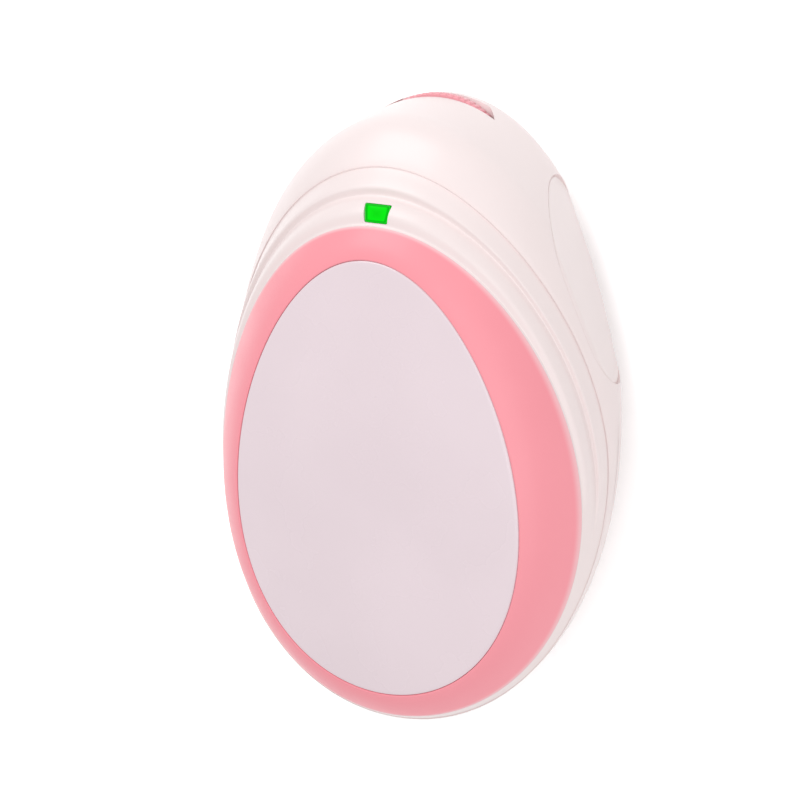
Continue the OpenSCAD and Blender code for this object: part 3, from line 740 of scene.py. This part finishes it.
FINE = around(720)
edge, inward = egg(SEAM, FINE), egg(SEAM, FINE, 1.0) - egg(SEAM, FINE)
outside = [at_depth(edge + inward * 0.12, seam_depth(FINE) + GAP),
           at_depth(edge + inward * 0.03, seam_depth(FINE) + GAP + 0.05)]
outside += house_loops(FINE)
inside = house_loops(FINE, WALL)
inside = inside[4:17:4] + inside[22:40:6] + inside[42::4]
mouth = [at_depth(egg(SEAM, FINE, WALL), seam_depth(FINE) + GAP)]
bowl = np.concatenate([scooped(np.array(inside[::-1] + mouth), WALL), np.array(outside)])
rear = stack("rear_case", face_to_row(bowl),
             face_to_row(np.array([[0, 0, WALL - back_at(0.0)], [0, 0, -back_at(0.0)]])))
print("rear skin:", len(rear.data.polygons), "faces")

# %% [markdown]
# ## Openings in the rear shell
# On the real part a scoop shows as a fine line round a shallow dish. Cut with a plain ball, it
# would get a ragged edge, because skin and ball meet at such a flat angle. So their outline is
# found with rays and smoothed, and inside it the tool goes a quarter of a millimetre below the
# ball. A rounded lip and a groove a third of a millimetre deep draw the line. All the other
# openings, from the door's to the socket's hole, are cut as the solids have them.

# %% Scoop tool
SCOOP_STEP, SCOOP_SOFT, SCOOP_WIDER = 0.24, 0.045, 0.8
FARTHEST, HALVINGS = 44.0, 18
ABOVE, CLEAR = 30, 9
# Each station of the rim: millimetres in from the outline, and millimetres sunk.
scoop_rim = [(2.0, 0.24), (1.5, 0.23), (1.1, 0.19), (0.8, 0.14), (0.6, 0.1), (0.45, 0.09),
             (0.34, 0.14), (0.28, 0.24), (0.22, 0.3), (0.1, 0.33), (0.0, 0.3), (0.0, -CLEAR)]


def scoop_tool(name, side, skin, n=300):
    """What is milled away: all inside the outline, down to the sunk ball, lip and groove.

    Seen along the scoop's own axis, the outline is found by halving: a point's distance out is
    moved in or out until the skin's height there equals the ball's. A bell-shaped average
    along the outline then takes the mesh's small steps out of it.
    """
    c = scoop_centre(side)
    out, up, across = scoop_axes(side)
    tree = BVHTree.FromObject(skin, bpy.context.evaluated_depsgraph_get())
    ray = turn_to_row(-out)

    def ball(r):
        return np.sqrt(SCOOP_R ** 2 - r ** 2)

    def proud(angle, r):
        """How far the skin stands above the ball at that place."""
        flat = c + up * r * math.cos(angle) + across * r * math.sin(angle)
        start = face_to_row(flat + out * (SCOOP_R + ABOVE)) * 0.001
        hit = tree.ray_cast(start.tolist(), ray.tolist())[0]
        if hit is None:
            return -1.0
        return SCOOP_R + ABOVE - np.linalg.norm(np.array(hit) - start) * 1000 - ball(r)

    a = around(n)
    reach = []
    for angle in a:
        low, high = 1.0, FARTHEST
        for _ in range(HALVINGS):
            middle = (low + high) / 2
            low, high = (middle, high) if proud(angle, middle) > 0 else (low, middle)
        reach.append(low)
    bell = np.exp(-((np.arange(n) - n / 2) / (n * SCOOP_SOFT)) ** 2)
    weights = np.roll(bell / bell.sum(), n // 2)
    reach = np.fft.ifft(np.fft.fft(np.array(reach)) * np.fft.fft(weights)).real + SCOOP_WIDER

    def loop(f, inward, sunk):
        """One loop of the tool, f of the way out; where the skin is lower, it follows the skin."""
        r = reach * f - inward
        under = np.array([min(proud(*polar), 0.0) for polar in zip(a, r)]) if sunk >= 0 else 0.0
        flat = c + up * (r * np.cos(a))[:, None] + across * (r * np.sin(a))[:, None]
        return flat + out * (ball(r) + under - sunk)[:, None]

    section = [(f, 0.0, SCOOP_STEP) for f in np.linspace(0.03, 0.82, 24)]
    section += [(1.0, w, d) for w, d in scoop_rim] + [(0.5, 0.0, -CLEAR)]
    ends = np.array([c + out * (SCOOP_R - SCOOP_STEP), c + out * (SCOOP_R + CLEAR)])
    print(name, "reaches", reach.min().round(1), "to", reach.max().round(1), "mm from its middle")
    return stack(name, face_to_row(np.array([loop(*s) for s in section])), face_to_row(ends))


# %% Round bars and boxes
def rod(name, low, high, r_low, r_high, x=0.0, y=0.0, place=lambda p: p, n=96):
    """A straight or tapered round bar from height low to height high."""
    loops = [np.column_stack([circle(r, n, x, y), np.full(n, z)])
             for r, z in ((r_high, high), (r_low, low))]
    ends = np.array([[x, y, high], [x, y, low]], float)
    return stack(name, [place(l) for l in loops], place(ends))


def slab(name, lows, highs):
    """A box between two corners."""
    (x0, y0, z0), (x1, y1, z1) = lows, highs
    return prism(name, [(x1, y0), (x1, y1), (x0, y1), (x0, y0)], z0, z1)


# %% Door, tongues and battery bay
CELL_D, CELL_L, SPRING_L, PLATE_T = 10.5, 44.5, 5.1, 0.4
NEAR_CELL_Y = -26.7
FAR_CELL_Y = NEAR_CELL_Y - CELL_D - 1.1
BAY_R = CELL_D / 2 + 0.35
BAY_HALF = (CELL_L + SPRING_L + 2 * PLATE_T) / 2
BAY_ROUND = 1.5
DOOR_T = 1.6
DOOR_HALF = 27.0
DOOR_ROUND = 2
PAST_END = 70
DOOR_TOP = NEAR_CELL_Y + CELL_D / 2 + 1.2
TONGUE_W, TONGUE_T, TONGUE_L = 1.1, 0.7, 17.0
DECK_Z, DECK_T = PROBE_H + DOOR_T + 0.2, 1.4


def door_outline(gap):
    """The door as seen from behind: two rounded top corners, open-ended towards -Y."""
    a = np.linspace(0, math.pi / 2, 17)
    corner = np.column_stack([np.cos(a), np.sin(a)]) * (DOOR_ROUND + gap)
    right = corner + (DOOR_HALF - DOOR_ROUND, DOOR_TOP - DOOR_ROUND)
    left = corner[::-1] * (-1, 1) + (DOOR_ROUND - DOOR_HALF, DOOR_TOP - DOOR_ROUND)
    side, end = DOOR_HALF + gap, DOOR_TOP - PAST_END
    return np.concatenate([right, left, [(-side, end), (side, end)]])


def tongue_slab(name, gap, shift=0.0):
    """The two tongues beside the door, as one bar right across."""
    side, top = DOOR_HALF + TONGUE_W + gap, DOOR_TOP - 3 + gap + shift
    low = PROBE_H + DOOR_T - TONGUE_T - gap
    return slab(name, (-side, top - TONGUE_L - 2 * gap, low), (side, top, low + TONGUE_T + 2 * gap))


def block(name, inset=0.0):
    """The housing filled in, for trimming what has to end at its skin."""
    loops = [at_depth(egg(SEAM, FULL, inset), seam_depth(FULL) + GAP)] + house_loops(FULL, inset)
    ends = np.array([[0, 0, -SEAM_DROP_END], [0, 0, inset - back_at(0.0)]])
    return stack(name, face_to_row(np.array(loops)), face_to_row(ends))


def bay_mouth():
    """A rectangle with small round corners, round both cells."""
    low, high = FAR_CELL_Y - BAY_R, NEAR_CELL_Y + BAY_R
    a = np.linspace(0, math.pi / 2, 9)
    points = []
    for k, (right, upper) in enumerate([(1, 1), (-1, 1), (-1, -1), (1, -1)]):
        turn = a + k * math.pi / 2
        middle = (right * (BAY_HALF - BAY_ROUND), (high if upper > 0 else low) - upper * BAY_ROUND)
        points.append(np.column_stack([np.cos(turn), np.sin(turn)]) * BAY_ROUND + middle)
    return np.concatenate(points)


print("battery bay:", np.ptp(bay_mouth(), axis=0).round(1), "mm, door from y", round(DOOR_TOP, 1))

# %% [markdown]
# ## Bosses and posts
# Four bosses inside take the case screws, two posts hold the control board, a collar stiffens
# the probe's hole, and a deck round the battery bay carries the tray. They could be left out
# for a picture, but the deck shows once the door is off. Bosses and deck are trimmed to the
# housing before they are joined to it, so that nothing breaks through the outer skin.

# %% Bosses, posts, deck
BOSS_TOP = BOARD_DEPTH + 1.6
HEAD_SEAT = BOSS_TOP + 2.4
BOSS_FOOT_R, BOSS_TIP_R = 3.7, 3.0
WELL_R, HOLE_R = 2.5, 1.35
SKIN_KEPT = 0.5
BEYOND = 60
WHEEL_R, WHEEL_T, WHEEL_UP, WHEEL_PROUD, SLOT_GAP = 15.0, 2.6, 9.9, 0.4, 0.8
PROBE_R = 17.0
BESIDE = 0.0175


def wall_at(t, height):
    """The housing's wall at outline angle t and a row height: its place and its outward turn."""
    p = egg(HOUSE, np.array(t))
    depth = (FACE_Z + p[1] * math.sin(LEAN) - height) / math.cos(LEAN)
    along = egg(HOUSE, np.array(t + BESIDE)) - egg(HOUSE, np.array(t - BESIDE))
    return face_to_row(np.array([*p, -depth])), math.atan2(-along[0] * math.cos(LEAN), along[1])


top_y = wall_at(math.pi / 2, PROBE_H + WHEEL_UP)[0][1]
WHEEL_Y = top_y + WHEEL_PROUD - WHEEL_R
WHEEL_Z = PROBE_H + WHEEL_UP - WHEEL_T / 2
CONTROL_Z = PROBE_H + WHEEL_UP + WHEEL_T / 2 + 4
CONTROL_Y = top_y - 0.89 * 2 * WHEEL_R
print("wheel's axis at y", round(WHEEL_Y, 3))

inner = []
for i, (x, y) in enumerate(SCREWS):
    boss = rod(f"boss_{i}", -BEYOND, -BOSS_TOP, BOSS_FOOT_R, BOSS_TIP_R, x, y, on_face(0, 0), 64)
    combine(boss, [block("trim", SKIN_KEPT)], "INTERSECT")
    inner.append(boss)
for i, x in enumerate((-HOUSE[0] / 2, HOUSE[0] / 2)):
    inner.append(rod(f"standoff_{i}", PROBE_H + 1.2, CONTROL_Z, 3.2, 2.2, x, CONTROL_Y, n=64))
deck = slab("deck", (-BEYOND, DOOR_TOP - 89.4, DECK_Z), (BEYOND, DOOR_TOP + 0.6, DECK_Z + DECK_T))
combine(deck, [block("trim", SKIN_KEPT)], "INTERSECT")
inner.append(deck)
collar_r = PROBE_R + 2.6
inner.append(rod("collar", PROBE_H + 0.6, PROBE_H + WALL, collar_r, collar_r, n=192))
print("inner forms:", [o.name for o in inner])

# %% Cut the rear shell
SOCKET_R = 2.8
SOCKET_TIP, SOCKET_TURN = wall_at(math.radians(125), CONTROL_Z + 0.8)


def at_socket(p):
    """Local height runs out of the shoulder, along the socket's axis."""
    x, y, z = xyz(p)
    c, s = math.cos(SOCKET_TURN), math.sin(SOCKET_TURN)
    return SOCKET_TIP + np.stack([z * c - y * s, z * s + y * c, -x], -1)


scoops = [scoop_tool("scoop_right", 1, rear), scoop_tool("scoop_left", -1, rear)]
combine(rear, scoops, "DIFFERENCE")
combine(rear, inner, "UNION")
cutters = [prism("door_cut", door_outline(GAP), PROBE_H - 5, PROBE_H + DOOR_T + GAP),
           tongue_slab("rail_cut", GAP), tongue_slab("entry_cut", GAP, -GAP - TONGUE_L),
           prism("bay_cut", bay_mouth(), PROBE_H, PROBE_H + 6),
           rod("probe_cut", PROBE_H - 1, PROBE_H + WALL + 1, PROBE_R + GAP, PROBE_R + GAP, n=256),
           rod("wheel_cut", WHEEL_Z - 0.4, WHEEL_Z + WHEEL_T + 0.4, WHEEL_R + SLOT_GAP,
               WHEEL_R + SLOT_GAP, 0, WHEEL_Y, n=320),
           rod("socket_cut", -8, 8, SOCKET_R + GAP, SOCKET_R + GAP, 0, 0, at_socket)]
for i, (x, y) in enumerate(SCREWS):
    cutters.append(rod(f"well_{i}", -HEAD_SEAT - 40, -HEAD_SEAT, WELL_R, WELL_R, x, y,
                       on_face(0, 0), 64))
    cutters.append(rod(f"hole_{i}", -HEAD_SEAT - 1, -HEAD_SEAT + 9, HOLE_R, HOLE_R, x, y,
                       on_face(0, 0), 48))
combine(rear, cutters, "DIFFERENCE")
sharpen(rear, 24)
finish_piece(rear, "case", "case_white", case_white, "rear_shell")

# %% [markdown]
# ## Battery door
# The sliding lid over the cells. Modelled alone it would have to be fitted to the back, so it
# is the housing's own block inside the door's outline, and its outer face carries on the
# case's curve without a step. Two tongues run in the rails, and six grooves, each a little
# shorter than the last, give the thumb its grip.

# %% Battery door
def capsule(name, half, y, z, r, n=48):
    """A bar along X with round ends: x = +-half +- r cos a, radius r sin a."""
    a = np.linspace(0, math.pi / 2, 9)[1:]
    x = np.concatenate([-half - r * np.cos(a), half + r * np.cos(a[::-1])])
    size = np.concatenate([r * np.sin(a), r * np.sin(a[::-1])])
    b = around(n)
    loops = np.stack([np.repeat(x[:, None], n, 1), y + size[:, None] * np.cos(b),
                      z + size[:, None] * np.sin(b)], -1)
    return stack(name, loops, np.array([[-half - r, y, z], [half + r, y, z]]))


door = block("battery_lid")
combine(door, [prism("panel", door_outline(0.0), PROBE_H - 5, PROBE_H + DOOR_T)], "INTERSECT")
combine(door, [tongue_slab("tongues", 0.0)], "UNION")
GROOVE_R, GROOVE_UP, GROOVE_PITCH = 0.8, 0.35, 2.4
combine(door, [capsule(f"groove_{i}", 9 - 0.6 * i, DOOR_TOP - 6 - GROOVE_PITCH * i,
                       PROBE_H - GROOVE_UP, GROOVE_R) for i in range(6)], "DIFFERENCE")
sharpen(door, 30)
finish_piece(door, "door", "case_white", case_white, "battery_door")

# %% [markdown]
# ## Probe
# The probe is a turned part: a thin rim with a 1.2 mm lip radius round the acoustic window,
# and a flange that traps it behind the back. A Screw modifier could turn the profile; here the
# sweep is one line of arrays, and the sizes stay readable. The window is a separate flat disc,
# so the gap round it is real.

# %% Probe rim
WINDOW_R, WINDOW_T = PROBE_R - 1.9, 1.8
LIP_R = 1.2
FLANGE_W, FLANGE_T = 2.2, 1.3
a = np.linspace(-math.pi / 2, 0, 14)
lip = np.column_stack([PROBE_R - LIP_R + LIP_R * np.cos(a), 1.55 + LIP_R * np.sin(a)])
seat_r, hole_r, bore_r = WINDOW_R + GAP, WINDOW_R - 0.8, PROBE_R - 1.7
low, high, shelf = PROBE_H + WALL, PROBE_H + WALL + FLANGE_T, WINDOW_T + 0.6
mouth_of_rim = [(seat_r, WINDOW_T), (seat_r, 0.5), (seat_r + 0.15, 0.35)]
flange = [(PROBE_R, low), (PROBE_R + FLANGE_W, low), (PROBE_R + FLANGE_W, high), (bore_r, high),
          (bore_r, shelf), (hole_r, shelf), (hole_r, WINDOW_T)]
probe_rim = turned("probe_rim", np.concatenate([mouth_of_rim, lip, flange]), 256)
sharpen(probe_rim, 30)
finish_piece(probe_rim, "case", "case_white", probe_white, "probe_housing")

# %% Acoustic window
disc = [(2, 0), (8, 0), (WINDOW_R - 0.25, 0), (WINDOW_R - 0.07, 0.07), (WINDOW_R, 0.25),
        (WINDOW_R, WINDOW_T - 0.1), (WINDOW_R - 0.1, WINDOW_T), (4, WINDOW_T)]
face_loops = [np.column_stack([circle(r, 256), np.full(256, h)]) for r, h in disc]
window = stack("acoustic_window", np.array(face_loops), np.array([[0, 0, 0], [0, 0, WINDOW_T]]))
sharpen(window, 50)
window_grey = moulded("acoustic_grey", (208, 213, 219), 0.42, 0.1, 0.00001, 0.000004)
finish_piece(window, "case", "window_grey", window_grey, "probe_window")

# %% [markdown]
# ## Thumbwheel
# A disc in the slot, with 72 small teeth for the thumb. Cutting them one by one would take 72
# Booleans, so the outline is a circle whose radius dips in a narrow notch 72 times a turn. The
# two rims are chamfered, so that the teeth catch the light one by one.

# %% Thumbwheel
TEETH = 72
NOTCH, NOTCH_W = 0.32, 0.16
SHAFT_R = 1.5


def wheel_loop(r, z, teeth, n=TEETH * 10):
    """The circle r less a narrow bell at each tooth gap, as deep as teeth (0 to 1) says."""
    a = around(n)
    phase = (a * TEETH / (2 * math.pi)) % 1.0
    near = np.minimum(phase, 1 - phase)
    size = r - NOTCH * teeth * np.exp(-(near / NOTCH_W) ** 2)
    return np.column_stack([size * np.cos(a), WHEEL_Y + size * np.sin(a), np.full(n, WHEEL_Z + z)])


web_out, web_in, hub = WHEEL_R - 2.0, SHAFT_R + 3.5, SHAFT_R + 2
# Each station: radius, height, and how far the teeth are cut there.
near_side = [(SHAFT_R, -0.6, 0), (SHAFT_R + 1.8, -0.6, 0), (hub, -0.4, 0), (hub, 0, 0), (8, 0, 0)]
tread = [(WHEEL_R - 0.45, 0, 0), (WHEEL_R - 0.3, 0.02, 0.6), (WHEEL_R - 0.05, 0.2, 1),
         (WHEEL_R, 0.38, 1), (WHEEL_R, 1.3, 1), (WHEEL_R, WHEEL_T - 0.38, 1),
         (WHEEL_R - 0.05, WHEEL_T - 0.2, 1), (WHEEL_R - 0.3, WHEEL_T - 0.02, 0.6),
         (WHEEL_R - 0.45, WHEEL_T, 0)]
far_side = [(web_out, WHEEL_T, 0), (web_out, 0.8, 0), (web_in, 0.8, 0), (web_in, WHEEL_T, 0),
            (hub, WHEEL_T, 0), (hub, WHEEL_T + 0.2, 0), (SHAFT_R, WHEEL_T + 0.2, 0)]
wheel = stack("thumb_wheel", np.array([wheel_loop(*s) for s in near_side + tread + far_side]))
sharpen(wheel, 35)
finish_piece(wheel, "wheel", "wheel_pink", wheel_pink, "volume_wheel")

# %% [markdown]
# ## The pieces inside
# The boards, chips, transducer, contacts, cells and screws could be modelled again, but their
# solids already have the right shape. They stay, and each gets its real finish. A solid
# arrives as loose triangles, so it is welded and its real edges are split in modifiers, which
# leave the solid itself alone.

# %% Board and cell finishes
def trace_board(name):
    """Solder mask over copper: straight traces where a stepped value crosses thin bands."""
    m = Nodes(name)
    grid = m.on_object(m.add("ShaderNodeTexVoronoi", Scale=420.0, Randomness=0.55))
    grid.distance = "CHEBYCHEV"
    bands = m.add("ShaderNodeMath", operation="PINGPONG")
    bands.inputs[1].default_value = 0.16
    m.join(grid, "Distance", bands, "Value")
    m.tint(bands, (22, 92, 52), (58, 140, 78), "Value", 0.10, 0.13)
    m.gloss(m.noise(700.0), 0.22, 0.34)
    m.bump(bands, 0.00003, 0.5, out="Value")
    m.give("Coat Weight", 0.4)
    return m.material


def cell_sleeve(name, cap_x, way):
    """A printed sleeve: a warm band over the quarter next to the cap, dark over the rest."""
    m = Nodes(name)
    split = m.on_object(m.add("ShaderNodeSeparateXYZ"))
    along = m.remap(split, "X", (cap_x, cap_x - way * CELL_L / 1000), (0.0, 1.0))
    ramp = m.bands(along, "Result", [
        (0.0, (196, 198, 200)), (0.03, (184, 120, 62)), (0.26, (214, 216, 218)),
        (0.275, (44, 50, 58)), (0.955, (120, 124, 128)), (0.975, (205, 207, 209))])
    ramp.color_ramp.interpolation = "CONSTANT"
    m.join(ramp, "Color", m.shader, "Base Color")
    m.gloss(m.noise(300.0), 0.24, 0.36)
    m.bump(m.noise(900.0), 0.00001, 0.4)
    m.give("Metallic", 0.45)
    return m.material


# %% Finishes for the inner solids
board_green = trace_board("board_mask")
lamp_clear = moulded("lamp_resin", (150, 235, 160), 0.15, 0.5)
cap_1, cap_2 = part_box("battery_1")[1].x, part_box("battery_2")[0].x
inner_finish = {
    "transmit_crystal": ceramic, "receive_crystal": ceramic, "probe_backing": resin_grey,
    "probe_shield": brass, "main_board": board_green, "control_board": board_green,
    "signal_lamp": lamp_clear, "main_chip": chip_black, "amplifier_chip": chip_black,
    "capacitors": sleeve_blue, "volume_control": pot_grey, "wheel_shaft": plated,
    "phone_jack": socket_black, "battery_tray": tray_white,
    "battery_1": cell_sleeve("cell_sleeve_1", cap_1, 1),
    "battery_2": cell_sleeve("cell_sleeve_2", cap_2, -1),
    "bridge_contact": plated, "positive_contact": plated, "negative_contact": plated,
    "case_screws": metal("screw_zinc", (188, 191, 195), 0.34, (1, 1, 0.1))}
for name, material in inner_finish.items():
    solid = nodes[name]
    for i in range(max(len(solid.material_slots), 1)):
        if solid.material_slots:
            solid.material_slots[i].material = material
        else:
            solid.data.materials.append(material)
    solid.data.shade_smooth()
    weld = solid.modifiers.new("weld", "WELD")
    weld.merge_threshold = 0.000002
    split = solid.modifiers.new("edges", "EDGE_SPLIT")
    split.split_angle = math.radians(32)
print("inner solids finished:", len(inner_finish))

# %% [markdown]
# ## Floor, light and background
# The photograph is a high-key studio picture: a white sweep, a large soft source above and
# behind on the left, and hardly a shadow. A picture of a studio could light it from all round,
# but a plain sky and two lamps can each be set on their own. Floor and sky are shown to the
# eye brighter than they light the object, so the ground turns white, still keeps a faint
# shadow, and a colour renders about as it is written.

# %% White floor
def camera_gloss_or_glass(m):
    """1 for rays that show a surface to the eye, straight, mirrored or through glass, else 0."""
    path = m.add("ShaderNodeLightPath")
    either = m.add("ShaderNodeMath", operation="MAXIMUM")
    m.join(path, "Is Camera Ray", either, 0)
    m.join(path, "Is Glossy Ray", either, 1)
    any_of = m.add("ShaderNodeMath", operation="MAXIMUM")
    m.join(either, "Value", any_of, 0)
    m.join(path, "Is Transmission Ray", any_of, 1)
    return any_of


FLOOR_LIFT = 1.9
floor_mesh = bpy.data.meshes.new("floor")
floor_mesh.from_pydata([(-3, -3, 0), (3, -3, 0), (3, 3, 0), (-3, 3, 0)], [], [(0, 1, 2, 3)])
floor = into_scene("floor", floor_mesh)
m = Nodes("paper_sweep")
paper = m.tint(m.noise(3.0), (228, 228, 228), (231, 231, 231))
m.gloss(m.noise(40.0), 0.6, 0.7)
m.give("Specular IOR Level", 0.1)
seen = m.add("ShaderNodeBsdfDiffuse")
lift = m.add("ShaderNodeVectorMath", operation="SCALE")
lift.inputs["Scale"].default_value = FLOOR_LIFT
m.join(paper, "Color", lift, 0)
m.join(lift, "Vector", seen, "Color")
choose = m.add("ShaderNodeMixShader")
m.join(camera_gloss_or_glass(m), "Value", choose, 0)
m.join(m.shader, "BSDF", choose, 1)
m.join(seen, "BSDF", choose, 2)
m.join(choose, "Shader", m.tree.nodes["Material Output"], "Surface")
floor.data.materials.append(m.material)
print("floor's brightness to the eye:", FLOOR_LIFT)

# %% White sky
WORLD_LIGHT = 0.57
world = bpy.data.worlds.new("studio")
bpy.context.scene.world = world
sky = Nodes("studio", world)
shine = sky.tree.nodes["Background"]
shine.inputs["Color"].default_value = (1.0, 1.0, 1.0, 1.0)
brightness = sky.remap(camera_gloss_or_glass(sky), "Value", (0.0, 1.0), (WORLD_LIGHT, 1.0))
sky.join(brightness, "Result", shine, "Strength")

# %% Lights
def soft_light(name, place, aim, size, power, colour=(1, 1, 1)):
    """A square area lamp at place, turned to look at aim."""
    data = bpy.data.lights.new(name, "AREA")
    data.size, data.energy, data.color = size, power, colour
    lamp = into_scene(name, data)
    z = np.array(place, float) - np.array(aim, float)
    z /= np.linalg.norm(z)
    x = np.cross((0, 1, 0.01), z)
    x /= np.linalg.norm(x)
    turn = Matrix(np.column_stack([x, np.cross(z, x), z]).tolist())
    lamp.matrix_world = Matrix.Translation(place) @ turn.to_4x4()
    return lamp


soft_light("key", (-0.3, 0.62, 0.75), (0, 0, 0.03), 0.7, 4.0)
soft_light("fill", (0.55, -0.2, 0.75), (0, 0, 0.03), 0.9, 2.6)

# %% [markdown]
# ## Camera
# The camera could be set by eye, but it was worked out from the outlines in the photograph:
# 27 degrees to the right of the cover's upright plane, 21 degrees above its middle, rolled by
# under two degrees, 593 mm away. The picture is cropped off centre, so the lens is shifted.

# %% Camera
CAM_TURN, CAM_RISE, CAM_ROLL = math.radians(27), math.radians(21.184), math.radians(-1.68)
PICTURE_PX, SENSOR = 800, 36.0
CENTRE_PX = (374.307, 482.991)
PX_PER_MM = 232.084 / COVER[1]
DISTANCE = COVER[1] / 0.07
back = np.array([math.sin(CAM_TURN) * math.cos(CAM_RISE), math.sin(CAM_RISE),
                 math.cos(CAM_TURN) * math.cos(CAM_RISE)])
level = np.array([math.cos(CAM_TURN), 0, -math.sin(CAM_TURN)])
rise = np.cross(back, level)
right = math.cos(CAM_ROLL) * level + math.sin(CAM_ROLL) * rise
up = -math.sin(CAM_ROLL) * level + math.cos(CAM_ROLL) * rise

camera_data = bpy.data.cameras.new("camera")
camera = into_scene("camera", camera_data)
bpy.context.scene.camera = camera
camera_data.sensor_width = SENSOR
camera_data.lens = PX_PER_MM * DISTANCE * SENSOR / PICTURE_PX
camera_data.shift_x = (PICTURE_PX / 2 - CENTRE_PX[0]) / PICTURE_PX
camera_data.shift_y = (CENTRE_PX[1] - PICTURE_PX / 2) / PICTURE_PX
camera_data.clip_start, camera_data.clip_end = 0.01, 20
place = (face_to_row(np.zeros(3)) + turn_to_row(back) * DISTANCE) * 0.001
axes = np.column_stack([turn_to_row(right), turn_to_row(up), turn_to_row(back)])
camera.matrix_world = Matrix.Translation(place.tolist()) @ Matrix(axes.tolist()).to_4x4()
print("camera at", place.round(3), "lens", round(camera_data.lens, 1))

bpy.context.scene.view_settings.view_transform = "Standard"
